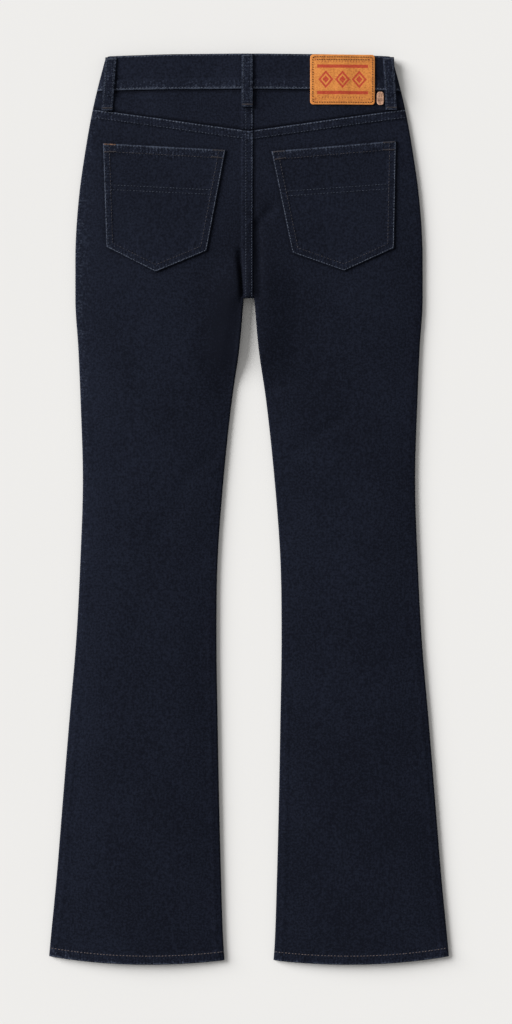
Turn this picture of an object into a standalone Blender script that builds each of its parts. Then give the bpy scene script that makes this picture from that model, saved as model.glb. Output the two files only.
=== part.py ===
"""Bootcut jeans lying flat and face down, so that the back is up.

The garment is drawn as a tailor would measure it: x across, with the middle of the back at 0, and down,
the distance below the top of the waist. The table OUTLINE gives its edges, and a few height functions
give the cloth's outer face and its thickness at any place. Every panel is a sheet of points read from
them and thickened, and what is sewn on a panel is made from the panel's points, moved out.
"""

import math
from collections import namedtuple

import bmesh
import bpy
import numpy as np

# Driving dimensions, all in millimetres.
MM = 0.001
LENGTH = 1090.2
DENIM = 1.2
PLY = 1.0
FACING = 1.0
LEATHER = 1.4
SEAM_GAP = 0.3

Section = namedtuple("Section", "place down side inseam")
OUTLINE = (
    Section("waist", 0.0, 170.8, 0.0),
    Section("waistband foot", 42.0, 181.8, 0.0),
    Section("yoke", 68.4, 187.8, 0.0),
    Section("high hip", 111.6, 195.6, 0.0),
    Section("pockets", 174.0, 204.2, 0.0),
    Section("seat", 246.0, 208.2, 0.0),
    Section("crotch", 292.8, 208.2, 6.2),
    Section("upper thigh", 352.8, 204.6, 11.5),
    Section("thigh", 414.0, 202.0, 20.4),
    Section("knee", 510.0, 199.2, 30.6),
    Section("below the knee", 606.0, 202.2, 37.6),
    Section("calf", 702.0, 207.2, 39.0),
    Section("flare", 798.0, 215.4, 37.6),
    Section("shin", 894.0, 223.2, 35.8),
    Section("ankle", 990.0, 231.0, 33.4),
    Section("hem seam", 1069.0, 238.6, 30.6),
    Section("hem", LENGTH, 240.4, 29.0),
)
CROTCH = 292.8
KNEE = 510.0

# The waistband, and how its edges bow.
WAISTBAND = 42.9
WAIST_BOW = 2.4
WAIST_BOW_AT = 166.0
WAIST_FOOT_BOW = 1.6
WAIST_CORNER = 4.0
FRONT_DIP = 8.0

# The yoke seam is a shallow V, and the leg panels lap over it.
YOKE_AT_MIDDLE = 92.4
YOKE_SLOPE = 0.142
FELLED_YOKE = 11.6

# The felled seam down the middle of the back: the left panel laps over the right.
FELLED_LEFT = -9.0
FELLED_RIGHT = 5.4

# The hem's lower edge bows down, most a little inside the leg's middle.
HEM = 11.4
HEM_LOWEST_AT = 120.0
HEM_OUTER_RISE = 9.6
HEM_INNER_RISE = 4.8

# How the two layers lie on each other.
FRONT_PLIES = 2.4
AIR = 1.1
FULLNESS = 2.4
FULLNESS_REACH = 28.0
EDGE_HEIGHT = 2.3
CURL = 2.4
LIP = 0.35
PLY_FADE = 7.0

# The largest folds: soft troughs, each from one end to the other.
Fold = namedtuple("Fold", "place x0 down0 x1 down1 reach depth")
FOLDS = (
    Fold("left of the crotch seam", -10.6, 238.0, -7.0, 296.0, 8.0, 2.2),
    Fold("right of the crotch seam", 11.0, 212.0, 12.4, 292.0, 13.0, 1.4),
    Fold("head of the right crotch fold", 27.0, 184.0, 11.0, 212.0, 13.0, 0.8),
    Fold("left inner thigh", -17.0, 312.0, -26.0, 402.0, 26.0, 0.8),
    Fold("left knee", -40.0, 462.0, -100.0, 566.0, 30.0, 0.6),
    Fold("left calf", -62.0, 718.0, -56.0, 790.0, 28.0, 0.4),
    Fold("right thigh", 26.0, 398.0, 78.0, 383.0, 22.0, 0.6),
    Fold("right knee", 54.0, 476.0, 114.0, 432.0, 24.0, 0.6),
)

# Back pockets: corners as (x, down), from the inner top corner round to the outer one.
Pocket = namedtuple("Pocket", "side inner_top inner_foot tip outer_foot outer_top")
POCKETS = (
    Pocket("left", (-27.6, 115.2), (-50.4, 236.4), (-111.6, 261.6), (-171.0, 231.6), (-175.2, 106.8)),
    Pocket("right", (26.4, 116.9), (51.6, 238.8), (114.0, 260.4), (174.0, 232.8), (176.4, 103.8)),
)
POCKET_BAND = 11.0

# Belt loops: where the middle of each end lies. The front ones face the floor.
LOOP_WIDTH = 13.8
LOOP_THICKNESS = 1.7
LOOP_ARCH = 1.0
Loop = namedtuple("Loop", "name top_x top_down foot_x foot_down")
BACK_LOOPS = (
    Loop("belt_loop_left", -165.0, 4.2, -169.8, 68.6),
    Loop("belt_loop_centre", -2.1, 0.8, -2.1, 64.8),
    Loop("belt_loop_right", 166.6, 3.8, 170.4, 67.8),
)
FRONT_LOOPS = (
    Loop("belt_loop_front_left", -98.0, 6.5, -98.0, 66.0),
    Loop("belt_loop_front_right", 98.0, 6.5, 98.0, 66.0),
)

# The leather patch and the small leather tab beside it.
PATCH_LEFT, PATCH_RIGHT = 73.2, 150.6
PATCH_TOP, PATCH_FOOT = 1.4, 61.2
PATCH_CORNER = 3.6
TAB_LEFT, TAB_RIGHT = 153.0, 161.4
TAB_TOP, TAB_FOOT = 45.6, 61.4
TAB_CORNER = 3.6

# The front: pocket mouths, the zip strip, and the button.
MOUTH_WIDTH = 80.0
MOUTH_FOOT = 128.0
FACING_LAP = 18.0
ZIP_HALF_WIDTH = 15.0
ZIP_FOOT = 176.0
WAIST_LAP = 12.0
BUTTON_RADIUS = 8.5
BUTTON_CAP = 1.9
BUTTON_SHANK = 4.0
BUTTON_DEPTH = 3.1
BUTTON_DOWN = 30.0

# What holds the front off the floor, and how far it holds the back up: hardware under the front, and the
# bulk where the seams cross at the crotch. Half sizes of the flat top, then the slope round it.
Lift = namedtuple("Lift", "x down half_x half_down slope front back")
LIFTS = (
    Lift(0.0, BUTTON_DOWN, 9.5, 9.5, 34.0, BUTTON_DEPTH + SEAM_GAP, 1.4),
    Lift(-98.0, 34.0, 8.0, 34.0, 26.0, LOOP_THICKNESS + SEAM_GAP, 0.8),
    Lift(98.0, 34.0, 8.0, 34.0, 26.0, LOOP_THICKNESS + SEAM_GAP, 0.8),
    Lift(0.0, 316.0, 8.0, 34.0, 52.0, 7.0, 7.0),
)

DENIM_COLOUR = (0.012, 0.016, 0.030, 1.0)
DENIM_INSIDE = (0.10, 0.12, 0.16, 1.0)
LEATHER_COLOUR = (0.58, 0.25, 0.07, 1.0)
TAB_COLOUR = (0.50, 0.30, 0.20, 1.0)
METAL_COLOUR = (0.42, 0.30, 0.20, 1.0)


# ---- plan: where the edges and seams run ---------------------------------------------------------


def smooth_curve(places, values):
    """A function through the points, rounded between them and with no bump of its own."""
    places, values = np.array(places, float), np.array(values, float)
    slopes = np.diff(values) / np.diff(places)
    tangents = np.concatenate([slopes[:1], (slopes[1:] + slopes[:-1]) / 2, slopes[-1:]])
    turns = np.concatenate([[False], slopes[1:] * slopes[:-1] <= 0, [False]])
    tangents[turns] = 0.0

    def at(place):
        i = int(np.clip(np.searchsorted(places, place) - 1, 0, len(slopes) - 1))
        step = places[i + 1] - places[i]
        t = min(max((place - places[i]) / step, 0.0), 1.0)
        return float(
            values[i] * (1 + 2 * t) * (1 - t) ** 2
            + values[i + 1] * t * t * (3 - 2 * t)
            + step * (tangents[i] * t * (1 - t) ** 2 - tangents[i + 1] * t * t * (1 - t))
        )

    return at


side = smooth_curve([s.down for s in OUTLINE], [s.side for s in OUTLINE])
LEG_SECTIONS = [s for s in OUTLINE if s.inseam]
inseam = smooth_curve([s.down for s in LEG_SECTIONS], [s.inseam for s in LEG_SECTIONS])


def ramp(value, width):
    """0 up to 0, 1 from the width on, and a soft step between."""
    t = min(max(value / width, 0.0), 1.0)
    return t * t * (3 - 2 * t)


def round_corner(depth, radius):
    """How far a rounded corner draws back, at a depth from 0 at its start to the radius."""
    depth = min(max(depth, 0.0), radius)
    return radius - math.sqrt(radius * radius - depth * depth)


def waist_top(x):
    bow = WAIST_BOW * (abs(x) / WAIST_BOW_AT) ** 2
    return bow + round_corner(abs(x) - (side(WAIST_BOW) - WAIST_CORNER), WAIST_CORNER)


def waist_foot(x):
    return WAISTBAND + WAIST_FOOT_BOW * (x / side(WAISTBAND)) ** 2


def front_dip(x):
    """The front of a waist is cut lower than its back."""
    return FRONT_DIP * (1 - min((x / side(WAISTBAND)) ** 2, 1.0))


def yoke_seam(x):
    return YOKE_AT_MIDDLE - YOKE_SLOPE * abs(x)


def hem_edge(x):
    outward = abs(x) - HEM_LOWEST_AT
    if outward > 0:
        return LENGTH - HEM_OUTER_RISE * (outward / (side(LENGTH) - HEM_LOWEST_AT)) ** 2
    return LENGTH - HEM_INNER_RISE * (outward / (HEM_LOWEST_AT - inseam(LENGTH))) ** 2


def mouth_edge(down, top):
    """The curved mouth of a front pocket: its x at a height, from the waistband to the side seam."""
    rise = min(max((down - top) / (MOUTH_FOOT - top), 0.0), 1.0)
    return side(down) - MOUTH_WIDTH * math.sqrt(1 - rise * rise)


def edge_distance(x, down):
    """How far a place lies inside the garment's outline, its open ends not counted."""
    to_side = side(down) - abs(x)
    if down > CROTCH:
        return max(min(to_side, abs(x) - inseam(down)), 0.0)
    to_crotch = math.hypot(max(abs(x) - inseam(CROTCH), 0.0), CROTCH - down)
    return max(min(to_side, to_crotch), 0.0)


# ---- height: how the layers lie on each other ----------------------------------------------------


def lift(x, down, layer="front"):
    """How far a layer is held up at the place."""
    most = 0.0
    for bump in LIFTS:
        out = math.hypot(
            max(abs(x - bump.x) - bump.half_x, 0.0), max(abs(down - bump.down) - bump.half_down, 0.0)
        )
        most = max(most, getattr(bump, layer) * (1 - ramp(out, bump.slope)))
    return most


def lip_height(x, down, above_seam):
    """The height of the outline's edge: above_seam is counted from the middle of the side seam."""
    return EDGE_HEIGHT + lift(x, down) + above_seam


def trough(x, down):
    """How far the folds let the back down."""
    depth = 0.0
    for fold in FOLDS:
        run_x, run_down = fold.x1 - fold.x0, fold.down1 - fold.down0
        along = ((x - fold.x0) * run_x + (down - fold.down0) * run_down) / (run_x**2 + run_down**2)
        along = min(max(along, 0.0), 1.0)
        out = math.hypot(x - fold.x0 - along * run_x, down - fold.down0 - along * run_down)
        near = max(1 - (out / fold.reach) ** 2, 0.0)
        depth = max(depth, fold.depth * near * near)
    return depth


def curl(distance):
    """0 at the outline and 1 past the rounded edge, as the quarter of an ellipse."""
    inside = 1 - min(distance, CURL) / CURL
    return math.sqrt(1 - inside * inside)


def extra_ply(x, down):
    """The turned-in plies of the back: waistband, felled seams and hems, fading at the outline."""
    if down < waist_foot(x) + SEAM_GAP / 2:
        plies = 0.45 + 0.55 * ramp(down - waist_top(x), 2.0)
    else:
        middle = ramp(x - FELLED_LEFT, 1.2) * (x <= FELLED_RIGHT + 0.1) * (down < CROTCH)
        below_yoke = down - yoke_seam(x)
        yoke = (below_yoke > -0.1) * (1 - ramp(below_yoke - FELLED_YOKE + 1.2, 1.2))
        hem = ramp(down - hem_edge(x) + HEM, 1.2)
        plies = max(middle, yoke, hem)
    return PLY * plies * ramp(edge_distance(x, down), PLY_FADE)


def back_inside(x, down):
    """The inner face of the back, clear of the outline's curl."""
    full = FULLNESS * (1 - math.exp(-edge_distance(x, down) / FULLNESS_REACH))
    fold = trough(x, down) * ramp(edge_distance(x, down), PLY_FADE)
    return FRONT_PLIES + AIR + full + lift(x, down, "back") - fold


def back_outside(x, down):
    """The outer face of whichever back panel lies at the place."""
    flat = back_inside(x, down) + DENIM + extra_ply(x, down)
    lip = lip_height(x, down, SEAM_GAP / 2 + LIP)
    return lip + (flat - lip) * curl(edge_distance(x, down))


def back_thickness(x, down):
    return DENIM + extra_ply(x, down)


def front_outside(x, down):
    """The face of the front that lies on the floor."""
    flat = lift(x, down)
    lip = lip_height(x, down, -SEAM_GAP / 2 - LIP)
    return lip + (flat - lip) * curl(edge_distance(x, down))


def front_thickness(x, down):
    at_waist = ramp(waist_foot(x) + front_dip(x) - down + 0.05, 0.1)
    at_hem = ramp(down - hem_edge(x) + HEM, 1.2)
    return DENIM + PLY * max(at_waist, at_hem) * ramp(edge_distance(x, down), PLY_FADE)


def over_back(x, down):
    """The back's outer face under something stiff: it bridges the steps and the outline's curl."""
    inner_x = math.copysign(min(abs(x), side(down) - 2 * CURL), x)
    reach = (-6.0, -3.0, 0.0, 3.0, 6.0)
    return max(back_outside(inner_x, max(down + step, waist_top(x) + 2.0)) for step in reach)


# ---- sheets --------------------------------------------------------------------------------------


def material(name, colour, roughness, metallic=0.0):
    made = bpy.data.materials.new(name)
    made.use_nodes = True
    shader = made.node_tree.nodes["Principled BSDF"]
    shader.inputs["Base Color"].default_value = colour
    shader.inputs["Roughness"].default_value = roughness
    shader.inputs["Metallic"].default_value = metallic
    return made


def add_object(name, mesh, finish):
    mesh.materials.append(finish)
    made = bpy.data.objects.new(name, mesh)
    bpy.data.collections["bootcut_jeans"].objects.link(made)
    return made


def sheet(name, points, finish, faces_down=False):
    """A cloth wall: a grid moved to rows of (x, down, outer height, thickness), and thickened inwards."""
    across, along = len(points[0]) - 1, len(points) - 1
    grid = bmesh.new()
    bmesh.ops.create_grid(grid, x_segments=across, y_segments=along, size=0.5)
    weights = grid.verts.layers.deform.verify()
    thickest = max(point[3] for row in points for point in row)
    for vertex in grid.verts:
        column = round((vertex.co.x + 0.5) * across)
        row = round((0.5 - vertex.co.y) * along)
        x, down, height, thickness = points[row][column]
        vertex.co = (x * MM, (LENGTH / 2 - down) * MM, height * MM)
        vertex[weights][0] = thickness / thickest
    grid.normal_update()
    if (sum(face.normal.z * face.calc_area() for face in grid.faces) > 0) == faces_down:
        bmesh.ops.reverse_faces(grid, faces=grid.faces)
    mesh = bpy.data.meshes.new(name)
    grid.to_mesh(mesh)
    grid.free()
    mesh.shade_smooth()
    made = add_object(name, mesh, finish)
    made.vertex_groups.new(name="thickness")
    wall = made.modifiers.new("wall", "SOLIDIFY")
    wall.thickness = thickest * MM
    wall.offset = -1.0
    wall.vertex_group = "thickness"
    return made


# Columns across a curled edge: distances from the outline. The first is the lip, straight below it.
CURLED = (0.0, 0.0, 0.3, 1.1, CURL, 9.0)
# Columns at an edge that lies flat, and at the felled seam, as many as at a curled one.
PLAIN = (0.0, 0.4, 0.9, 1.6, CURL, 9.0)
FELLED_WIDTH = FELLED_RIGHT - FELLED_LEFT
FELLED = (0.0, 0.3, FELLED_WIDTH / 2, FELLED_WIDTH - 1.2, FELLED_WIDTH, FELLED_WIDTH + 6.0)

Column = namedtuple("Column", "share offset is_lip")


def columns_across(low, between, high):
    """Columns of a panel: steps in from its low edge, even ones between, and steps in from its high edge."""
    made = [Column(0.0, out, low is CURLED and k == 0) for k, out in enumerate(low)]
    for k in range(1, between + 1):
        share = k / (between + 1)
        made.append(Column(share, low[-1] * (1 - share) - high[-1] * share, False))
    return made + [Column(1.0, -out, high is CURLED and k == 0) for k, out in enumerate(high)][::-1]


def panel(sign, rows, columns_of, low, high, down_at, layer):
    """Rows of a panel's points. low and high are its edges at a height, counted outwards on its own side."""
    points = []
    for row in rows:
        line = []
        for column in columns_of(row):
            down = down_at(row, 0.0)
            for _ in range(4):
                x = sign * (low(down) + (high(down) - low(down)) * column.share + column.offset)
                down = down_at(row, x)
            height = lip_height(x, down, layer.lip) if column.is_lip else layer.outside(x, down)
            line.append((x, down, height, layer.thickness(x, down)))
        points.append(line)
    return points


Layer = namedtuple("Layer", "outside thickness lip")
BACK = Layer(back_outside, back_thickness, SEAM_GAP / 2)
FRONT = Layer(front_outside, front_thickness, -SEAM_GAP / 2)
SIDES = ((-1, "left"), (1, "right"))


def steps(start, end, count):
    return [start + (end - start) * k / count for k in range(count)]


def leg_rows(top):
    """Heights of a leg panel's rows, close together where it turns: at seams, crotch and hem."""
    return (
        [top, top + FELLED_YOKE - 1.2]
        + steps(top + FELLED_YOKE, CROTCH - 18.0, 7)
        + [CROTCH - out for out in (18.0, 9.0, 5.0, CURL, 1.1, 0.4)]
        + [CROTCH + out for out in (0.1, 2.0, 7.0, 17.0, 34.0)]
        + steps(CROTCH + 60.0, KNEE, 3)
        + steps(KNEE, LENGTH - HEM, 8)
        + [LENGTH - HEM, LENGTH - HEM + 1.2, LENGTH]
    )


def leg_down(top_line):
    """How the rows bend: with the seam above them at the top, and with the hem's edge at the foot."""

    def down_at(row, x):
        at_top = (top_line(x) - top_line(0.0)) * (1 - ramp(row - top_line(0.0) - 14.0, 60.0))
        at_foot = (hem_edge(x) - LENGTH) * ramp(row - LENGTH + 104.0, 90.0)
        return row + at_top + at_foot

    return down_at


def down_between(top_line, foot_line):
    return lambda share, x: top_line(x) + (foot_line(x) - top_line(x)) * share


# ---- the pieces ----------------------------------------------------------------------------------


def middle_of_back(sign):
    """Where a back panel ends at the middle: the left one laps over the right."""
    return -FELLED_RIGHT if sign < 0 else FELLED_RIGHT + SEAM_GAP


def back_legs(denim):
    for sign, name in SIDES:
        above = columns_across(FELLED, 7, CURLED)
        below = columns_across(CURLED, 7, CURLED)
        points = panel(
            sign,
            leg_rows(yoke_seam(0.0)),
            lambda row, above=above, below=below: below if row > CROTCH else above,
            lambda down, sign=sign: inseam(down) if down > CROTCH else middle_of_back(sign),
            side,
            leg_down(yoke_seam),
            BACK,
        )
        sheet("back_leg_" + name, points, denim)


def yokes(denim):
    for sign, name in SIDES:
        columns = columns_across(FELLED, 9, CURLED)
        points = panel(
            sign,
            (0.0, 0.35, 0.7, 1.0),
            lambda row, columns=columns: columns,
            lambda down, sign=sign: middle_of_back(sign),
            side,
            down_between(lambda x: waist_foot(x) + SEAM_GAP, lambda x: yoke_seam(x) - SEAM_GAP),
            BACK,
        )
        sheet("yoke_" + name, points, denim)


def back_waistband(denim):
    columns = columns_across(CURLED, 24, CURLED)
    points = panel(
        1,
        (0.0, 0.05, 0.35, 0.7, 1.0),
        lambda row: columns,
        lambda down: -side(down),
        side,
        down_between(waist_top, waist_foot),
        BACK,
    )
    sheet("waistband_back", points, denim)


def front_waistbands(denim):
    """The left end laps over the middle, where the button holds it."""
    for sign, name in SIDES:
        columns = columns_across(PLAIN, 12, CURLED)
        points = panel(
            sign,
            (0.0, 0.35, 0.7, 1.0),
            lambda row, columns=columns: columns,
            lambda down, sign=sign: sign * WAIST_LAP + SEAM_GAP / 2,
            side,
            down_between(lambda x: waist_top(x) + front_dip(x), lambda x: waist_foot(x) + front_dip(x)),
            FRONT,
        )
        sheet("waistband_front_" + name, points, denim, faces_down=True)


def front_top(x):
    return waist_foot(x) + front_dip(x) + SEAM_GAP


def front_edge(down):
    """The outer edge of a front leg: the pocket's mouth, then the side seam."""
    return side(down) if down > MOUTH_FOOT - 0.1 else mouth_edge(down, WAISTBAND)


def front_legs(denim):
    above_mouth = columns_across(PLAIN, 4, PLAIN)
    above_crotch = columns_across(PLAIN, 4, CURLED)
    below_crotch = columns_across(CURLED, 4, CURLED)

    def columns_of(row):
        if row > CROTCH:
            return below_crotch
        return above_crotch if row > MOUTH_FOOT - 0.1 else above_mouth

    top = front_top(0.0)
    rows = (
        steps(top, MOUTH_FOOT - 24.0, 4)
        + [MOUTH_FOOT - out for out in (24.0, 12.0, 5.0, 0.8, 0.0)]
        + steps(MOUTH_FOOT + 30.0, CROTCH - 18.0, 3)
        + [row for row in leg_rows(top) if row >= CROTCH - 18.0]
    )
    for sign, name in SIDES:
        points = panel(
            sign,
            rows,
            columns_of,
            lambda down: inseam(down) if down > CROTCH else SEAM_GAP / 2,
            front_edge,
            leg_down(front_top),
            FRONT,
        )
        sheet("front_leg_" + name, points, denim, faces_down=True)


def facing_outside(x, down):
    """A facing lies on the front panel's inner face, and sinks to the floor in the open mouth."""
    in_mouth = ramp(abs(x) - mouth_edge(down, WAISTBAND) - 9.0, 12.0) * (down < MOUTH_FOOT)
    flat = lift(x, down) + (DENIM + 2 * SEAM_GAP) * (1 - 0.9 * in_mouth)
    lip = lip_height(x, down, FRONT.lip - LIP)
    return lip + (flat - lip) * curl(edge_distance(x, down))


def pocket_facings(denim):
    layer = Layer(facing_outside, lambda x, down: FACING, FRONT.lip)
    at_seam = columns_across(PLAIN, 6, CURLED)
    below_mouth = columns_across(PLAIN, 6, PLAIN)
    foot = MOUTH_FOOT + FACING_LAP

    def inner_edge(down):
        rise = min((down - WAISTBAND) / (foot - WAISTBAND), 0.97)
        return side(down) - (MOUTH_WIDTH + FACING_LAP) * math.sqrt(1 - rise * rise)

    def outer_edge(down):
        return side(down) if down < MOUTH_FOOT - 2.9 else side(down) - 7.0

    top = front_top(side(WAISTBAND))
    rows = steps(top, MOUTH_FOOT - 3.0, 5) + [MOUTH_FOOT - 3.0, MOUTH_FOOT - 1.0, MOUTH_FOOT + 5.0, foot - 4.0]
    for sign, name in SIDES:
        points = panel(
            sign,
            rows,
            lambda row: at_seam if row < MOUTH_FOOT - 2.9 else below_mouth,
            inner_edge,
            outer_edge,
            lambda row, x: row + (front_top(x) - top) * (1 - ramp(row - top, 40.0)),
            layer,
        )
        sheet("pocket_facing_" + name, points, denim, faces_down=True)


def zip_strip(denim):
    """The closed zip, on the inner face of the fly."""
    points = []
    for down in [front_top(0.0) + 1.0] + steps(70.0, ZIP_FOOT, 6) + [ZIP_FOOT]:
        half = ZIP_HALF_WIDTH - round_corner(down - ZIP_FOOT + 9.0, 9.0)
        line = []
        for k in range(5):
            x = half * (k / 2 - 1)
            line.append((x, down, lift(x, down) + DENIM + SEAM_GAP, DENIM))
        points.append(line)
    sheet("zip", points, denim, faces_down=True)


def back_pockets(denim):
    for pocket in POCKETS:
        tip_share = (pocket.tip[0] - pocket.inner_foot[0]) / (pocket.outer_foot[0] - pocket.inner_foot[0])
        foot_line = pocket.inner_foot[1] + (pocket.outer_foot[1] - pocket.inner_foot[1]) * tip_share
        height = (pocket.inner_foot[1] + pocket.outer_foot[1] - pocket.inner_top[1] - pocket.outer_top[1]) / 2
        across = steps(0.0, tip_share, 7) + steps(tip_share, 1.0, 6) + [1.0]
        along = [0.0, (POCKET_BAND - 1.2) / height] + steps(POCKET_BAND / height, 1.0, 8) + [1.0]
        points = []
        for share_down in along:
            line = []
            for share in across:
                inner = [a + (b - a) * share_down for a, b in zip(pocket.inner_top, pocket.inner_foot)]
                outer = [a + (b - a) * share_down for a, b in zip(pocket.outer_top, pocket.outer_foot)]
                point_share = min(share / tip_share, (1 - share) / (1 - tip_share))
                x = inner[0] + (outer[0] - inner[0]) * share
                down = inner[1] + (outer[1] - inner[1]) * share
                down += (pocket.tip[1] - foot_line) * point_share * share_down
                thickness = DENIM + PLY * ramp(POCKET_BAND - share_down * height, 1.2)
                line.append((x, down, back_outside(x, down) + SEAM_GAP + thickness, thickness))
            points.append(line)
        sheet("back_pocket_" + pocket.side, points, denim)


def belt_loops(denim):
    """Each loop is sewn down at its ends and stands a little off the waistband between them."""
    for loop in BACK_LOOPS + FRONT_LOOPS:
        is_front = loop in FRONT_LOOPS
        points = []
        for share in steps(0.0, 1.0, 10) + [1.0]:
            middle = loop.top_x + (loop.foot_x - loop.top_x) * share
            down = loop.top_down + (loop.foot_down - loop.top_down) * share
            line = []
            for out, crown in ((-0.5, 0.0), (-0.43, 0.18), (0.0, 0.25), (0.43, 0.18), (0.5, 0.0)):
                x = middle + out * LOOP_WIDTH
                if is_front:
                    height = 0.0
                else:
                    height = over_back(middle, down) + SEAM_GAP + LOOP_THICKNESS
                    height += LOOP_ARCH * math.sin(math.pi * share) + crown
                line.append((x, down, height, LOOP_THICKNESS + (0.0 if is_front else crown)))
            points.append(line)
        sheet(loop.name, points, denim, faces_down=is_front)


def leather_piece(name, left, right, top, foot, corner, finish):
    """A flat piece of leather with rounded corners, bent over what it lies on."""
    along = [0.0, 0.1, 0.35, 1.0]
    between = round((foot - top) / 12.0)
    rows = [top + corner * share for share in along]
    rows += steps(top + corner, foot - corner, between)[1:]
    rows += [foot - corner * share for share in reversed(along)]
    half_count = max(round((right - left) / 26.0), 1)
    points = []
    for down in rows:
        depth = corner - min(down - top, foot - down, corner)
        half = (right - left) / 2 - round_corner(depth, corner)
        line = []
        for k in range(-half_count, half_count + 1):
            x = (left + right) / 2 + half * k / half_count
            line.append((x, down, over_back(x, down) + SEAM_GAP + LEATHER, LEATHER))
        points.append(line)
    sheet(name, points, finish)


def waist_button(metal):
    """A turned button under the waistband: a cap that faces the floor, on a short shank."""
    edge = 0.6
    profile = (
        (0.0, BUTTON_DEPTH),
        (BUTTON_SHANK, BUTTON_DEPTH),
        (BUTTON_SHANK, BUTTON_CAP),
        (BUTTON_RADIUS - edge, BUTTON_CAP),
        (BUTTON_RADIUS, BUTTON_CAP - edge),
        (BUTTON_RADIUS, edge),
        (BUTTON_RADIUS - edge, 0.0),
        (0.0, 0.0),
    )
    mesh = bpy.data.meshes.new("waist_button")
    points = [(out * MM, 0.0, height * MM) for out, height in profile]
    mesh.from_pydata(points, [(k, k + 1) for k in range(len(points) - 1)], [])
    made = add_object("waist_button", mesh, metal)
    made.location = (0.0, (LENGTH / 2 - BUTTON_DOWN) * MM, 0.0)
    turn = made.modifiers.new("turn", "SCREW")
    turn.steps = turn.render_steps = 24
    turn.use_merge_vertices = True
    turn.merge_threshold = 0.0001
    turn.use_smooth_shade = False


def main():
    for old in list(bpy.data.objects):
        bpy.data.objects.remove(old)
    collection = bpy.data.collections.new("bootcut_jeans")
    bpy.context.scene.collection.children.link(collection)
    denim = material("denim", DENIM_COLOUR, 0.85)
    inside = material("denim_inside", DENIM_INSIDE, 0.9)
    leather = material("patch_leather", LEATHER_COLOUR, 0.55)
    tab = material("tab_leather", TAB_COLOUR, 0.6)
    metal = material("button_metal", METAL_COLOUR, 0.4, metallic=1.0)
    back_legs(denim)
    yokes(denim)
    back_waistband(denim)
    front_waistbands(denim)
    front_legs(denim)
    pocket_facings(denim)
    zip_strip(inside)
    back_pockets(denim)
    belt_loops(denim)
    leather_piece("leather_patch", PATCH_LEFT, PATCH_RIGHT, PATCH_TOP, PATCH_FOOT, PATCH_CORNER, leather)
    leather_piece("leather_tab", TAB_LEFT, TAB_RIGHT, TAB_TOP, TAB_FOOT, TAB_CORNER, tab)
    waist_button(metal)


main()
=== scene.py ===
"""The looks of a pair of bootcut jeans, lying flat and face down on a pale floor.

Sizes are in millimetres. A place on the garment is (x, down): x runs across, with the middle of the back
at 0, and down is the distance below the top of the waist. Every cloth piece is a fine grid of such places,
read from the outline and from height functions, and thickened inwards. Threads are laid on what they hold.
"""

import math
from collections import namedtuple

import bpy
import numpy as np
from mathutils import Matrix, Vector
from mathutils.bvhtree import BVHTree


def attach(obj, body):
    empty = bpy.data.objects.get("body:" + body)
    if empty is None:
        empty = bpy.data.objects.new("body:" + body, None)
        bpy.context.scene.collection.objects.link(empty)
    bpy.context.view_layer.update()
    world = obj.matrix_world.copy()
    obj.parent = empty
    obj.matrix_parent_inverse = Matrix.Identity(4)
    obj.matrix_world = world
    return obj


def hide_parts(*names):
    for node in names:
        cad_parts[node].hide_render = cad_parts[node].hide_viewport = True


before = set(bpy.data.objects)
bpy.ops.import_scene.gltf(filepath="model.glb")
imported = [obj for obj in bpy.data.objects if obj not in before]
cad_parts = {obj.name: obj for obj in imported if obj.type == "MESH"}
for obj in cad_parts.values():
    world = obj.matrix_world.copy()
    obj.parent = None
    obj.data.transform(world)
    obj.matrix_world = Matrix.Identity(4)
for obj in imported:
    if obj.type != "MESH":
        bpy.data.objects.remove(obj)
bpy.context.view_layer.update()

# ---- sizes: the same as the solids' --------------------------------------------------------------

MM = 0.001
LENGTH = 1090.2
DENIM = 1.2
PLY = 1.0
FACING = 1.0
LEATHER = 1.4
LEATHER_EDGE = 0.55
SEAM_GAP = 0.3

Section = namedtuple("Section", "place down side inseam")
OUTLINE = (
    Section("waist", 0.0, 170.8, 0.0),
    Section("waistband foot", 42.0, 181.8, 0.0),
    Section("yoke", 68.4, 187.8, 0.0),
    Section("high hip", 111.6, 195.6, 0.0),
    Section("pockets", 174.0, 204.2, 0.0),
    Section("seat", 246.0, 208.2, 0.0),
    Section("crotch", 292.8, 208.2, 6.2),
    Section("upper thigh", 352.8, 204.6, 11.5),
    Section("thigh", 414.0, 202.0, 20.4),
    Section("knee", 510.0, 199.2, 30.6),
    Section("below the knee", 606.0, 202.2, 37.6),
    Section("calf", 702.0, 207.2, 39.0),
    Section("flare", 798.0, 215.4, 37.6),
    Section("shin", 894.0, 223.2, 35.8),
    Section("ankle", 990.0, 231.0, 33.4),
    Section("hem seam", 1069.0, 238.6, 30.6),
    Section("hem", LENGTH, 240.4, 29.0),
)
CROTCH = 292.8

WAISTBAND = 42.9
WAIST_BOW = 2.4
WAIST_BOW_AT = 166.0
WAIST_FOOT_BOW = 1.6
WAIST_CORNER = 4.0
FRONT_DIP = 8.0

YOKE_AT_MIDDLE = 92.4
YOKE_SLOPE = 0.142
FELLED_YOKE = 11.6
FELLED_LEFT = -9.0
FELLED_RIGHT = 5.4

HEM = 11.4
HEM_LOWEST_AT = 120.0
HEM_OUTER_RISE = 9.6
HEM_INNER_RISE = 4.8

FRONT_PLIES = 2.4
AIR = 1.1
FULLNESS = 2.4
FULLNESS_REACH = 28.0
EDGE_HEIGHT = 2.3
CURL = 2.4
LIP = 0.35
PLY_FADE = 7.0
PLY_STEP = 1.2
# The edges of the two layers at the outline, above the middle of the side seam.
BACK_LIP = SEAM_GAP / 2
FRONT_LIP = -SEAM_GAP / 2

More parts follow.
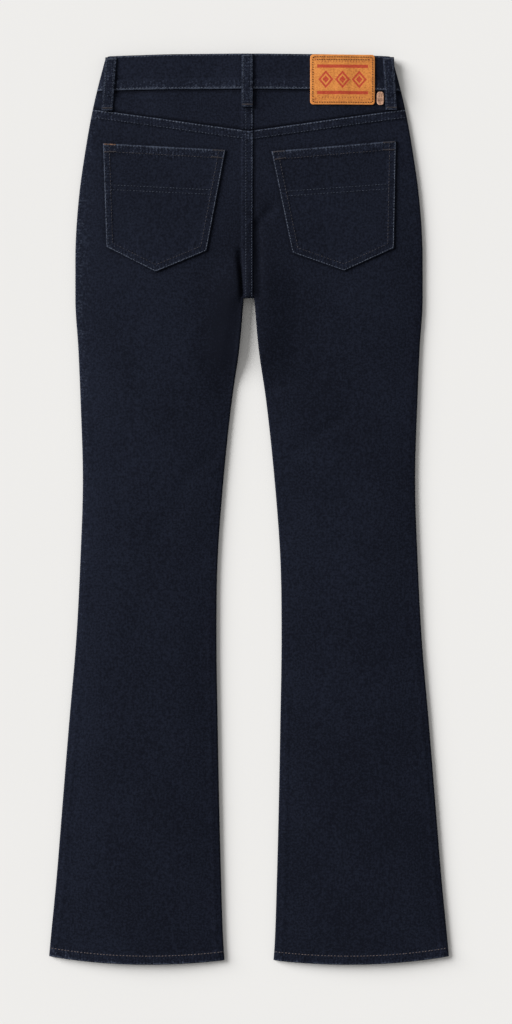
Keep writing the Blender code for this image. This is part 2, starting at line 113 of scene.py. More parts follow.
Fold = namedtuple("Fold", "place x0 down0 x1 down1 reach depth")
FOLDS = (
    Fold("left of the crotch seam", -10.6, 238.0, -7.0, 296.0, 8.0, 2.2),
    Fold("right of the crotch seam", 11.0, 212.0, 12.4, 292.0, 13.0, 1.4),
    Fold("head of the right crotch fold", 27.0, 184.0, 11.0, 212.0, 13.0, 0.8),
    Fold("left inner thigh", -17.0, 312.0, -26.0, 402.0, 26.0, 0.8),
    Fold("left knee", -40.0, 462.0, -100.0, 566.0, 30.0, 0.6),
    Fold("left calf", -62.0, 718.0, -56.0, 790.0, 28.0, 0.4),
    Fold("right thigh", 26.0, 398.0, 78.0, 383.0, 22.0, 0.6),
    Fold("right knee", 54.0, 476.0, 114.0, 432.0, 24.0, 0.6),
)

Pocket = namedtuple("Pocket", "side inner_top inner_foot tip outer_foot outer_top")
POCKETS = (
    Pocket("left", (-27.6, 115.2), (-50.4, 236.4), (-111.6, 261.6), (-171.0, 231.6), (-175.2, 106.8)),
    Pocket("right", (26.4, 116.9), (51.6, 238.8), (114.0, 260.4), (174.0, 232.8), (176.4, 103.8)),
)
POCKET_BAND = 11.0
POCKET_INNER_EDGE, POCKET_OUTER_EDGE = 122.0, 126.0
RIVET_FROM_CORNER = (12.4, -8.4)
RIVET_ABOVE_TIP = 11.6
RIVET_RADIUS = 3.8
RIVET_RISE = 0.7

LOOP_WIDTH = 13.8
LOOP_THICKNESS = 1.7
LOOP_ARCH = 1.0
Loop = namedtuple("Loop", "name top_x top_down foot_x foot_down")
BACK_LOOPS = (
    Loop("belt_loop_left", -165.0, 4.2, -169.8, 68.6),
    Loop("belt_loop_centre", -2.1, 0.8, -2.1, 64.8),
    Loop("belt_loop_right", 166.6, 3.8, 170.4, 67.8),
)
FRONT_LOOPS = (
    Loop("belt_loop_front_left", -98.0, 6.5, -98.0, 66.0),
    Loop("belt_loop_front_right", 98.0, 6.5, 98.0, 66.0),
)

PATCH_LEFT, PATCH_RIGHT = 73.2, 150.6
PATCH_TOP, PATCH_FOOT = 1.4, 61.2
PATCH_CORNER = 3.6
TAB_LEFT, TAB_RIGHT = 153.0, 161.4
TAB_TOP, TAB_FOOT = 45.6, 61.4
TAB_CORNER = 3.6

MOUTH_WIDTH = 80.0
MOUTH_FOOT = 128.0
FACING_LAP = 18.0
ZIP_HALF_WIDTH = 15.0
ZIP_FOOT = 176.0
ZIP_TAPE = 0.5
TOOTH = (2.2, 1.1, 0.7)
TOOTH_PITCH = 2.6
WAIST_LAP = 12.0
BUTTON_DEPTH = 3.1
BUTTON_RADIUS = 8.5
BUTTON_CAP = 1.9
BUTTON_SHANK = 4.0
BUTTON_DOWN = 30.0

Lift = namedtuple("Lift", "x down half_x half_down slope front back")
LIFTS = (
    Lift(0.0, BUTTON_DOWN, 9.5, 9.5, 34.0, BUTTON_DEPTH + SEAM_GAP, 1.4),
    Lift(-98.0, 34.0, 8.0, 34.0, 26.0, LOOP_THICKNESS + SEAM_GAP, 0.8),
    Lift(98.0, 34.0, 8.0, 34.0, 26.0, LOOP_THICKNESS + SEAM_GAP, 0.8),
    Lift(0.0, 316.0, 8.0, 34.0, 52.0, 7.0, 7.0),
)

# ---- sizes of the fine form ----------------------------------------------------------------------

# Creases are folds too fine for the solids. A crease is a trough with a low shoulder on each side.
BACK_CREASES = (
    Fold("beside the seat seam", 27.0, 186.0, 9.6, 205.0, 7.0, 0.8),
    Fold("under it", 10.2, 202.0, 12.6, 288.0, 5.5, 0.95),
    Fold("left of the crotch", -11.2, 236.0, -7.4, 296.0, 3.6, 0.8),
    Fold("left inner thigh, upper", -12.0, 300.0, -24.0, 372.0, 10.0, 0.7),
    Fold("left inner thigh, fan", -30.0, 318.0, -62.0, 352.0, 12.0, 0.25),
    Fold("left knee, upper", -36.0, 470.0, -84.0, 520.0, 11.0, 0.4),
    Fold("left knee, lower", -78.0, 528.0, -118.0, 584.0, 13.0, 0.3),
    Fold("left calf", -64.0, 700.0, -50.0, 772.0, 13.0, 0.3),
    Fold("right inner thigh, first", 15.0, 322.0, 44.0, 330.0, 8.0, 0.3),
    Fold("right inner thigh, second", 20.0, 372.0, 58.0, 362.0, 9.0, 0.3),
    Fold("right thigh", 26.0, 400.0, 84.0, 381.0, 9.0, 0.45),
    Fold("right knee, upper", 52.0, 478.0, 118.0, 430.0, 10.0, 0.45),
    Fold("right knee, lower", 40.0, 528.0, 76.0, 500.0, 12.0, 0.25),
    Fold("right calf", 92.0, 742.0, 128.0, 694.0, 14.0, 0.25),
)
FRONT_CREASES = (
    Fold("left whisker, upper", -14.0, 262.0, -92.0, 214.0, 8.0, 0.35),
    Fold("left whisker, lower", -18.0, 300.0, -104.0, 268.0, 9.0, 0.4),
    Fold("right whisker, upper", 12.0, 256.0, 84.0, 220.0, 8.0, 0.35),
    Fold("right whisker, lower", 20.0, 306.0, 98.0, 262.0, 9.0, 0.4),
    Fold("left knee", -52.0, 520.0, -130.0, 494.0, 12.0, 0.4),
    Fold("right knee", 58.0, 498.0, 128.0, 522.0, 12.0, 0.4),
)
SHOULDER = 0.3

# The tightest fold, where the seat seam meets the crotch: both layers sink into the room under the lift.
DEEP_FOLD = Fold("left of the crotch, deep", -11.8, 241.0, -7.9, 290.0, 3.4, 3.8)
DEEP_SHARE = 0.75

# Painted shade and tone, as soft round patches: what each takes from the cloth's tone. The crotch, seat seam,
# inner thighs and inner knee get painted shade in their folds; the left outer edge, which faces the sun, gets
# a painted highlight; the shins and the right leg are made darker.
TonePatch = namedtuple("TonePatch", "place x down reach_x reach_down amount")
PAINTED_SHADE_AND_TONE = (
    TonePatch("crotch", -8.0, 268.0, 48.0, 62.0, 0.26),
    TonePatch("seat seam", 8.0, 196.0, 20.0, 70.0, 0.14),
    TonePatch("left inner thigh", -30.0, 340.0, 30.0, 62.0, 0.42),
    TonePatch("right inner thigh", 56.0, 360.0, 66.0, 110.0, 0.14),
    TonePatch("left knee, inner", -62.0, 480.0, 40.0, 70.0, 0.10),
    TonePatch("shins", 0.0, 1010.0, 320.0, 330.0, 0.14),
    TonePatch("right leg", 170.0, 640.0, 150.0, 520.0, 0.10),
    TonePatch("left outer edge", -206.0, 300.0, 26.0, 620.0, -0.15),
)

# How far the cloth rises from its outline to the middle of the seat, and of each leg.
SEAT_CROWN = 2.6
LEG_CROWN = 1.8
LEG_CROWN_FROM, LEG_CROWN_WHOLE = 200.0, 390.0

# Wear and painted shade: at folded edges a pale worn line with painted shade under the edge; for each
# millimetre that a pucker rises or sinks, paler on its ridges and painted shade in its hollows; and wear all
# over the thick places.
EDGE_WEAR_AND_SHADE = 0.75
LOOP_EDGE_WEAR_AND_SHADE = 0.45
RIPPLE_WEAR_AND_SHADE = 0.9
YOKE_SEAM_WEAR = 0.10
HEM_WEAR = 0.12
WAIST_ALLOWANCE_WEAR = 0.26
POCKET_BAND_WEAR = 0.20
LOOP_WEAR = 0.26
# Shade round a pocket, and how strongly a loop shows ribs across and down.
POCKET_SHADE = 0.55
POCKET_SHADE_REACH = 4.0
LOOP_RIBS = (0.25, 0.75)

# Rows of stitches, as distances from the edge that each follows.
YOKE_ROWS = (1.7, 10.0)
FELLED_ROWS = (3.2, -3.6)
WAIST_TOP_ROW = 1.9
WAIST_FOOT_ROW = 2.2
WAIST_ALLOWANCE = 13.6
POCKET_ROWS = (1.4, 8.0)
POCKET_BAND_ROWS = (2.3, 10.3)
POCKET_TURNED = 10.0
HEM_ROW = 10.4
LOOP_ROW = 2.4
MOUTH_ROWS = (1.8, 8.0)
FLY_ROWS = (34.0, 27.5)
PATTERN_SHARES = (0.40, 0.445)
PATTERN_MARGIN = 0.06
# Bartacks at a pocket's top corners, as shares of its sides and of its top edge.
POCKET_MARGIN = 0.012
POCKET_TACKS = (POCKET_MARGIN, 0.086)
POCKET_TACK_LENGTH = 0.095
POCKET_TACK_WIDTH = 1.7
LOOP_TACK_WIDTH = 1.8
PATCH_ROW = 2.9
# Heights at which a row's ends find the seams beside it, and the x that gives a mouth's rows their top.
YOKE_ROW_ENDS = 80.0
HEM_ROW_ENDS = 1078.0
MOUTH_ROW_FROM = 90.0

THREAD = 0.66
STITCH_PITCH = 3.9
STITCH_LENGTH = 2.7
TACK_PITCH = 0.62
TACK_RADIUS = 0.34
# A stitch's rings: share of its half length, height over the cloth in thread radii, share of the radius.
STITCH_RINGS = (
    (-1.0, -0.9, 0.6),
    (-0.72, 0.35, 0.95),
    (-0.3, 0.72, 1.0),
    (0.3, 0.72, 1.0),
    (0.72, 0.35, 0.95),
    (1.0, -0.9, 0.6),
)
STITCH_SIDES = 6

# ---- camera: the photograph's view, straight down ------------------------------------------------

IMAGE_WIDTH, IMAGE_HEIGHT = 512, 1024
MM_PER_PIXEL = 1.2
MIDDLE_PIXEL = 249
WAIST_PIXEL = 55
CAMERA_HEIGHT = 3.0


# ---- plan: where the edges and seams run ---------------------------------------------------------


def smooth_curve(places, values):
    """A function through the points, rounded between them and with no bump of its own."""
    places, values = np.array(places, float), np.array(values, float)
    slopes = np.diff(values) / np.diff(places)
    tangents = np.concatenate([slopes[:1], (slopes[1:] + slopes[:-1]) / 2, slopes[-1:]])
    turns = np.concatenate([[False], slopes[1:] * slopes[:-1] <= 0, [False]])
    tangents[turns] = 0.0

    def at(place):
        i = np.clip(np.searchsorted(places, place) - 1, 0, len(slopes) - 1)
        step = places[i + 1] - places[i]
        t = np.clip((place - places[i]) / step, 0.0, 1.0)
        return (
            values[i] * (1 + 2 * t) * (1 - t) ** 2
            + values[i + 1] * t * t * (3 - 2 * t)
            + step * (tangents[i] * t * (1 - t) ** 2 - tangents[i + 1] * t * t * (1 - t))
        )

    return at


side = smooth_curve([s.down for s in OUTLINE], [s.side for s in OUTLINE])
LEG_SECTIONS = [s for s in OUTLINE if s.inseam]
inseam = smooth_curve([s.down for s in LEG_SECTIONS], [s.inseam for s in LEG_SECTIONS])


def ramp(value, width):
    """0 up to 0, 1 from the width on, and a soft step between."""
    t = np.clip(value / width, 0.0, 1.0)
    return t * t * (3 - 2 * t)


def round_corner(depth, radius):
    """How far a rounded corner draws back, at a depth from 0 at its start to the radius."""
    depth = np.clip(depth, 0.0, radius)
    return radius - np.sqrt(radius * radius - depth * depth)


def waist_top(x):
    bow = WAIST_BOW * (np.abs(x) / WAIST_BOW_AT) ** 2
    return bow + round_corner(np.abs(x) - (side(WAIST_BOW) - WAIST_CORNER), WAIST_CORNER)


def waist_foot(x):
    return WAISTBAND + WAIST_FOOT_BOW * (x / side(WAISTBAND)) ** 2


def front_dip(x):
    """The front of a waist is cut lower than its back."""
    return FRONT_DIP * (1 - np.minimum((x / side(WAISTBAND)) ** 2, 1.0))


def front_waist_top(x):
    return waist_top(x) + front_dip(x)


def front_waist_foot(x):
    return waist_foot(x) + front_dip(x)


def front_top(x):
    return front_waist_foot(x) + SEAM_GAP


def on_waistband(x, down):
    return down < waist_foot(x) + SEAM_GAP / 2


def yoke_seam(x):
    return YOKE_AT_MIDDLE - YOKE_SLOPE * np.abs(x)


def hem_edge(x):
    outward = np.abs(x) - HEM_LOWEST_AT
    outer = HEM_OUTER_RISE * (outward / (side(LENGTH) - HEM_LOWEST_AT)) ** 2
    inner = HEM_INNER_RISE * (outward / (HEM_LOWEST_AT - inseam(LENGTH))) ** 2
    return LENGTH - np.where(outward > 0, outer, inner)


def mouth_edge(down, top):
    """The curved mouth of a front pocket: its x at a height, from the waistband to the side seam."""
    rise = np.clip((down - top) / (MOUTH_FOOT - top), 0.0, 1.0)
    return side(down) - MOUTH_WIDTH * np.sqrt(1 - rise * rise)


def edge_distance(x, down):
    """How far a place lies inside the garment's outline, its open ends not counted."""
    to_side = side(down) - np.abs(x)
    to_inseam = np.abs(x) - inseam(down)
    to_crotch = np.hypot(np.maximum(np.abs(x) - inseam(CROTCH), 0.0), CROTCH - down)
    return np.maximum(np.minimum(to_side, np.where(down > CROTCH, to_inseam, to_crotch)), 0.0)


def off_edge(x, down):
    """0 at the garment's outline, and 1 from where turned-in plies and fine forms are whole."""
    return ramp(edge_distance(x, down), PLY_FADE)


# ---- uneven forms --------------------------------------------------------------------------------


def bell(value, width):
    """1 at 0, falling off softly on both sides."""
    return np.exp(-((value / width) ** 2))


def plateau(out, half, soft):
    """1 within half of 0, and 0 from soft beyond it."""
    return 1 - ramp(np.abs(out) - half, soft)


def wander(place, step, seed):
    """A smooth line that wanders between -1 and 1, with a new value every step."""
    values = np.random.default_rng(seed).uniform(-1.0, 1.0, 1024)
    at = np.asarray(place, float) / step
    first = np.floor(at).astype(int)
    share = ramp(at - first, 1.0)
    return values[first % 1024] * (1 - share) + values[(first + 1) % 1024] * share


def mottle(x, down, step_x, step_down, seed):
    """A smooth field that wanders between -1 and 1."""
    values = np.random.default_rng(seed).uniform(-1.0, 1.0, (64, 64))
    at_x, at_down = x / step_x + 32, down / step_down
    i, j = np.floor(at_x).astype(int), np.floor(at_down).astype(int)
    s, t = ramp(at_x - i, 1.0), ramp(at_down - j, 1.0)
    near = values[i % 64, j % 64] * (1 - t) + values[i % 64, (j + 1) % 64] * t
    far = values[(i + 1) % 64, j % 64] * (1 - t) + values[(i + 1) % 64, (j + 1) % 64] * t
    return near * (1 - s) + far * s


def pucker(along, out, reach, seed):
    """Ripples across a sewn line, drawn in by its thread, as a height from -1 to 1."""
    ripples = 0.65 * wander(along, 3.8, seed) + 0.35 * wander(along, 9.1, seed + 1)
    return ripples * bell(out, reach)


def puckers(along, out, rows, reach, seed):
    """Puckers along several rows, each at its own distance."""
    return sum(pucker(along, out - row, reach, seed + 2 * number) for number, row in enumerate(rows))


def near_line(x, down, line):
    """Share along a line, 0 to 1, and distance from it."""
    run_x, run_down = line.x1 - line.x0, line.down1 - line.down0
    along = ((x - line.x0) * run_x + (down - line.down0) * run_down) / (run_x**2 + run_down**2)
    along = np.clip(along, 0.0, 1.0)
    return along, np.hypot(x - line.x0 - along * run_x, down - line.down0 - along * run_down)


def creased(x, down, creases):
    """The height that creases take from a panel: troughs with low shoulders, uneven along their run."""
    total = 0.0 * x
    for number, crease in enumerate(creases):
        along, out = near_line(x, down, crease)
        out = out / crease.reach
        strength = crease.depth * (0.8 + 0.35 * wander(along * 5.0 + number, 1.0, 40 + number))
        total -= strength * np.maximum(1 - out * out, 0.0) ** 2
        total += strength * SHOULDER * bell(out - 1.25, 0.4)
    return total


# ---- height: how the layers lie on each other ----------------------------------------------------


def lift(x, down, layer="front"):
    """How far a layer is held up at the place."""
    most = 0.0 * (x + down)
    for bump in LIFTS:
        out = np.hypot(
            np.maximum(np.abs(x - bump.x) - bump.half_x, 0.0),
            np.maximum(np.abs(down - bump.down) - bump.half_down, 0.0),
        )
        most = np.maximum(most, getattr(bump, layer) * (1 - ramp(out, bump.slope)))
    return most


def lip_height(x, down, above_seam):
    """The height of the outline's edge: above_seam is counted from the middle of the side seam."""
    return EDGE_HEIGHT + lift(x, down) + above_seam


def trough(x, down):
    """How far the folds let the back down."""
    depth = 0.0 * (x + down)
    for fold in FOLDS:
        _, out = near_line(x, down, fold)
        near = np.maximum(1 - (out / fold.reach) ** 2, 0.0)
        depth = np.maximum(depth, fold.depth * near * near)
    return depth


def curl(distance):
    """0 at the outline and 1 past the rounded edge, as the quarter of an ellipse."""
    inside = 1 - np.minimum(distance, CURL) / CURL
    return np.sqrt(1 - inside * inside)


def extra_ply(x, down):
    """The turned-in plies of the back: waistband, felled seams and hems, fading at the outline."""
    waistband = 0.45 + 0.55 * ramp(down - waist_top(x), 2.0)
    middle = ramp(x - FELLED_LEFT, PLY_STEP) * (x <= FELLED_RIGHT + 0.1) * (down < CROTCH)
    below_yoke = down - yoke_seam(x)
    yoke = (below_yoke > -0.1) * (1 - ramp(below_yoke - FELLED_YOKE + PLY_STEP, PLY_STEP))
    hem = ramp(down - hem_edge(x) + HEM, PLY_STEP)
    plies = np.where(on_waistband(x, down), waistband, np.maximum(np.maximum(middle, yoke), hem))
    return PLY * plies * off_edge(x, down)


def allowances(x, down):
    """Seam allowances that press through the legs, beside the inseam and the side seam."""
    inside = edge_distance(x, down)
    low_leg = 0.35 + 0.65 * ramp(down - 640.0, 240.0)
    return 0.34 * bell(inside - 8.5, 2.6) * low_leg * (down > CROTCH + 20.0)


def crown(x, down):
    """The rise from the outline to the middle, over the whole seat and then over each leg."""
    half = (side(down) - inseam(down)) / 2
    across = (np.abs(x) - inseam(down) - half) / half
    leg = LEG_CROWN * np.maximum(1 - across * across, 0.0)
    seat = SEAT_CROWN * np.maximum(1 - (x / side(down)) ** 2, 0.0)
    share = ramp(down - LEG_CROWN_FROM, LEG_CROWN_WHOLE - LEG_CROWN_FROM)
    return seat * (1 - share) + leg * share


def seam_ripples(x, down):
    """Puckers along the sewn lines of the back, as a height."""
    below_yoke, above_hem = down - yoke_seam(x), hem_edge(x) - down
    ripples = 0.34 * puckers(x, below_yoke, YOKE_ROWS, 3.4, 10) * (below_yoke > 0)
    ripples += 0.34 * puckers(down, x, FELLED_ROWS, 3.2, 20) * (down < CROTCH)
    ripples += 0.18 * pucker(down, edge_distance(x, down) - 5.0, 5.0, 24) * (down > WAISTBAND)
    roping = wander(np.abs(x) - 0.9 * above_hem, 4.6, 26)
    ripples += 0.30 * roping * ramp(HEM + 2.0 - above_hem, 4.0)
    band = 0.26 * pucker(x, waist_foot(x) - WAIST_FOOT_ROW - down, 8.0, 28)
    band += 0.20 * pucker(x, down - waist_top(x) - WAIST_TOP_ROW, 3.0, 30)
    return np.where(on_waistband(x, down), band, ripples)


def seam_ribs(x, down):
    """How strongly stitching gathers the back into fine ribs: along seams that run across, and down."""
    below_yoke, above_hem = down - yoke_seam(x), hem_edge(x) - down
    seams = 0.85 * plateau(below_yoke - 6.4, 4.6, 4.0) * (below_yoke > 0)
    seams += 0.85 * plateau(above_hem - 6.0, 6.0, 4.0)
    band = 0.6 * plateau(waist_foot(x) - down - 5.0, 4.0, 5.0)
    band += 0.5 * plateau(down - waist_top(x) - 2.0, 1.0, 3.0)
    across = np.where(on_waistband(x, down), band, seams)
    runs_down = plateau(x + 1.8, 5.2, 3.0) * (down < CROTCH)
    runs_down += 0.45 * plateau(edge_distance(x, down) - 3.0, 3.0, 6.0)
    return across, runs_down * (down > waist_foot(x))


def seam_tone(x, down):
    """How much paler the back's cloth is on its thick seams and hem, and darker in the shade beside them."""
    above_hem = hem_edge(x) - down
    paler = 0.13 * plateau(above_hem - 5.0, 7.0, 3.0) + 0.09 * plateau(x + 1.0, 5.4, 2.0) * (down < CROTCH)
    under_band = plateau(down - waist_foot(x) - 1.4, 0.9, 1.6)
    over_yoke = plateau(yoke_seam(x) - down - 1.4, 0.6, 1.8)
    beside_seat = plateau(x - 6.6, 0.7, 1.6) * (down > yoke_seam(x)) * (down < CROTCH)
    shade = np.maximum.reduce([1.1 * under_band, 0.85 * over_yoke, 0.9 * beside_seat])
    return (paler - shade) * (down > waist_foot(x))


def back_fine(x, down):
    """Everything on the back that is finer than the solids' form."""
    fine = 0.30 * mottle(x, down, 62.0, 105.0, 3) + 0.12 * mottle(x, down, 23.0, 37.0, 4)
    fine += creased(x, down, BACK_CREASES) + allowances(x, down)
    strip = 0.70 * ramp(down - waist_foot(x) + WAIST_ALLOWANCE, 1.8)
    band = strip + 0.10 * mottle(x, down, 40.0, 22.0, 5)
    fine = np.where(on_waistband(x, down), band, fine) + seam_ripples(x, down) + crown(x, down)
    return fine * off_edge(x, down) - deep_fold(x, down)


def deep_fold(x, down):
    """How far the tight fold beside the crotch lets both layers down."""
    _, out = near_line(x, down, DEEP_FOLD)
    depth = DEEP_FOLD.depth * np.maximum(1 - (out / DEEP_FOLD.reach) ** 2, 0.0) ** 2
    return np.minimum(depth, DEEP_SHARE * lift(x, down)) * off_edge(x, down)


def painted_shade_and_tone(x, down):
    """What the painted shade in the folds, the painted highlight on the left outer edge and the darker shins
    and right leg take from the cloth's tone, in steps of the attribute for wear and painted light.
    """
    darker = 0.0 * x
    for patch in PAINTED_SHADE_AND_TONE:
        darker += patch.amount * bell(x - patch.x, patch.reach_x) * bell(down - patch.down, patch.reach_down)
    return -darker / WEAR_AND_LIGHT_TONE


def back_outside(x, down, drop=0.0):
    """The outer face of whichever back panel lies at the place. drop lets a rounded edge down."""
    inside = edge_distance(x, down)
    full = FULLNESS * (1 - np.exp(-inside / FULLNESS_REACH))
    fold = trough(x, down) * ramp(inside, PLY_FADE)
    under = FRONT_PLIES + AIR + full + lift(x, down, "back") - fold
    flat = under + DENIM + extra_ply(x, down) + back_fine(x, down) - drop
    lip = lip_height(x, down, BACK_LIP + LIP)
    return lip + (flat - lip) * curl(inside)


def back_thickness(x, down):
    return DENIM + extra_ply(x, down)


def front_outside(x, down, drop=0.0):
    """The face of the front that lies on the floor. Its creases lift it off the floor."""
    inside = edge_distance(x, down)
    creases = np.maximum(-creased(x, down, FRONT_CREASES), 0.0) * ramp(inside, PLY_FADE)
    flat = lift(x, down) + creases + drop - deep_fold(x, down)
    lip = lip_height(x, down, FRONT_LIP - LIP)
    return lip + (flat - lip) * curl(inside)


def front_thickness(x, down):
    at_waist = ramp(front_waist_foot(x) - down + 0.05, 0.1)
    at_hem = ramp(down - hem_edge(x) + HEM, PLY_STEP)
    return DENIM + PLY * np.maximum(at_waist, at_hem) * off_edge(x, down)


def over_back(x, down):
    """The back's outer face under something stiff: it bridges the steps and the outline's curl."""
    inner_x = np.copysign(np.minimum(np.abs(x), side(down) - 2 * CURL), x)
    below_top = [np.maximum(down + step, waist_top(x) + 2.0) for step in (-6.0, -3.0, 0.0, 3.0, 6.0)]
    return np.maximum.reduce([back_outside(inner_x, place) for place in below_top])


def bridged(x, down):
    """The height that leather lies at: it bends over steps in a long curve."""
    return np.mean([over_back(x, down + step) for step in np.linspace(-6.0, 6.0, 13)], axis=0)


def nose(distance, thickness):
    """A folded edge: how far its outer face drops, and what thickness is left, near the edge."""
    radius = thickness / 2
    reach = radius - np.clip(distance, 0.0, radius)
    drop = radius - np.sqrt(radius * radius - reach * reach)
    return drop, np.maximum(thickness - 2 * drop, 0.2)


# ---- materials -----------------------------------------------------------------------------------


# The colour mix's sockets, which share their names with others.
MIX_FIRST, MIX_SECOND, MIX_RESULT = 6, 7, 2


class Shade:
    """A material's nodes, with short calls for those used here. Places come in millimetres."""

    def __init__(self, name, roughness, specular, metallic=0.0):
        self.material = bpy.data.materials.new(name)
        self.material.use_nodes = True
        self.tree = self.material.node_tree
        self.shader = self.tree.nodes["Principled BSDF"]
        self.feed(self.shader, {"Roughness": roughness, "Specular IOR Level": specular, "Metallic": metallic})
        self.place = self.scaled(self.node("ShaderNodeTexCoord").outputs["Object"], (1 / MM,) * 3)

    def feed(self, node, inputs):
        """Gives a node's inputs what another node puts out, or a value."""
        for name, value in inputs.items():
            if isinstance(value, bpy.types.NodeSocket):
                self.tree.links.new(value, node.inputs[name])
            else:
                node.inputs[name].default_value = value

    def node(self, kind, inputs=None, **settings):
        made = self.tree.nodes.new(kind)
        for name, value in settings.items():
            setattr(made, name, value)
        self.feed(made, inputs or {})
        return made

    def scaled(self, vector, scale, turn=0.0, shift=(0.0, 0.0, 0.0)):
        inputs = {"Vector": vector, "Location": shift, "Rotation": (0.0, 0.0, turn), "Scale": scale}
        return self.node("ShaderNodeMapping", inputs).outputs["Vector"]

    def noise(self, scale, detail=2.0, roughness=0.5, vector=None):
        """Noise with so many waves a millimetre: one number, or three for a stretched noise."""
        sizes = scale if isinstance(scale, tuple) else (scale,) * 3
        place = self.scaled(vector or self.place, sizes)
        inputs = {"Vector": place, "Scale": 1.0, "Detail": detail, "Roughness": roughness}
        return self.node("ShaderNodeTexNoise", inputs).outputs["Fac"]

    def math(self, operation, *values):
        """One operation over up to three values."""
        return self.node("ShaderNodeMath", dict(enumerate(values)), operation=operation).outputs["Value"]

    def plus(self, first, second):
        return self.math("ADD", first, second)

    def times(self, first, second):
        return self.math("MULTIPLY", first, second)

    def wave(self, value, pitch):
        """A sine of the value, with one wave a pitch."""
        return self.math("SINE", self.times(value, 2 * math.pi / pitch))

    def axes(self, vector=None):
        made = self.node("ShaderNodeSeparateXYZ", {"Vector": vector or self.place})
        return made.outputs["X"], made.outputs["Y"]

    def remap(self, value, low, high, to_low=0.0, to_high=1.0):
        inputs = {"Value": value, "From Min": low, "From Max": high, "To Min": to_low, "To Max": to_high}
        return self.node("ShaderNodeMapRange", inputs, interpolation_type="SMOOTHSTEP").outputs["Result"]

    def ramp(self, value, *stops):
        made = self.node("ShaderNodeValToRGB", {"Fac": value})
        elements = made.color_ramp.elements
        while len(elements) < len(stops):
            elements.new(1.0)
        for element, (position, colour) in zip(elements, stops):
            element.position = position
            element.color = (*colour, 1.0)
        return made.outputs["Color"]

    def mix(self, share, first, second):
        inputs = {"Factor": share, MIX_FIRST: first, MIX_SECOND: second}
        return self.node("ShaderNodeMix", inputs, data_type="RGBA").outputs[MIX_RESULT]

    def attribute(self, name):
        return self.node("ShaderNodeAttribute", attribute_name=name).outputs["Fac"]

    def colour(self, value):
        self.feed(self.shader, {"Base Color": value})

    def bump(self, height, strength, distance):
        inputs = {"Height": height, "Strength": strength, "Distance": distance * MM}
        self.feed(self.shader, {"Normal": self.node("ShaderNodeBump", inputs).outputs["Normal"]})


TWILL_PITCH = 1.15
TWILL_SLOPE = math.radians(58.0)
RIB_PITCH = 3.9
# What a whole step of the attribute for wear and painted light adds to the cloth's tone. Past PALE_FROM it
# pales as well.
WEAR_AND_LIGHT_TONE = 0.42
PALE_FROM = 0.30
DARK, LIGHT, PALE = (0.0034, 0.0044, 0.0092), (0.0128, 0.0165, 0.0305), (0.049, 0.060, 0.088)


def seam_rib_height(shade, waver):
    """Ribs across the seams, a stitch apart, uneven and speckled, from -1 to 1."""
    uneven = shade.remap(shade.noise(0.30, detail=2.0), 0.36, 0.62, 0.0, 0.9)
    speckle = shade.remap(shade.noise(0.60, detail=2.0), 0.36, 0.66, -0.7, 0.9)
    ribs = None
    for name, place in zip(("ribs_across", "ribs_down"), shade.axes()):
        wave = shade.wave(shade.math("MULTIPLY_ADD", waver, 3.4, place), RIB_PITCH)
        wave = shade.math("MULTIPLY_ADD", wave, uneven, speckle)
        wave = shade.times(wave, shade.attribute(name))
        ribs = wave if ribs is None else shade.plus(ribs, wave)
    return ribs


def denim(name, dark, light, turn=0.0):
    """Raw twill: a fine diagonal, slubs along the warp, and heather. turn is the warp's direction."""
    shade = Shade(name, roughness=0.9, specular=0.08)
    cloth_place = shade.scaled(shade.place, (1.0, 1.0, 1.0), turn)
    x, y = shade.axes(cloth_place)
    waver = shade.noise(0.35, detail=1.0, vector=cloth_place)
    diagonal = shade.math("MULTIPLY_ADD", x, math.sin(TWILL_SLOPE), shade.times(y, -math.cos(TWILL_SLOPE)))
    twill = shade.wave(shade.math("MULTIPLY_ADD", waver, 1.1, diagonal), TWILL_PITCH)
    slub = shade.noise((1.5, 0.09, 1.0), detail=3.0, roughness=0.6, vector=cloth_place)
    heather = shade.noise(0.42, detail=2.5, roughness=0.6, vector=cloth_place)
    broad = shade.noise(0.012, detail=2.0)
    wear, ribs = shade.attribute("wear"), seam_rib_height(shade, waver)
    tone = shade.math("MULTIPLY_ADD", twill, 0.06, 0.385)
    for field, high, amount in ((slub, 0.72, 0.13), (heather, 0.70, 0.30), (broad, 0.70, 0.07)):
        tone = shade.plus(tone, shade.remap(field, 0.30, high, -amount, amount))
    # The attribute adds wear, painted shade and a painted highlight to the tone; the ribs pale it on their
    # tops and darken it with painted shade between them.
    for field, amount in ((wear, WEAR_AND_LIGHT_TONE), (ribs, 0.26)):
        tone = shade.math("MULTIPLY_ADD", field, amount, tone)
    speckled = shade.plus(wear, shade.remap(heather, 0.30, 0.70, -0.18, 0.18))
    speckled = shade.math("MULTIPLY_ADD", ribs, 0.28, speckled)
    pale = shade.remap(speckled, PALE_FROM, 1.1, 0.0, 1.0)
    shade.colour(shade.mix(pale, shade.ramp(tone, (0.0, dark), (1.0, light)), (*PALE, 1.0)))
    height = shade.math("MULTIPLY_ADD", twill, 0.35, shade.plus(slub, heather))
    shade.bump(shade.math("MULTIPLY_ADD", ribs, 1.1, height), 0.35, 0.28)
    sheen = {"Sheen Weight": 0.015, "Sheen Roughness": 0.45, "Sheen Tint": (0.55, 0.62, 0.85, 1.0)}
    shade.feed(shade.shader, sheen)
    return shade.material


def thread(name, colour, paler):
    """Twisted sewing thread: the twist runs slantwise round each stitch."""
    shade = Shade(name, roughness=0.62, specular=0.25)
    u, v = shade.axes(shade.node("ShaderNodeUVMap").outputs["UV"])
    twist = shade.wave(shade.plus(shade.times(u, 3.0), v), 1.0)
    uneven = shade.noise(0.35, detail=2.0)
    shade.colour(shade.mix(shade.remap(uneven, 0.35, 0.65), (*colour, 1.0), (*paler, 1.0)))
    shade.bump(twist, 0.5, 0.12)
    return shade.material


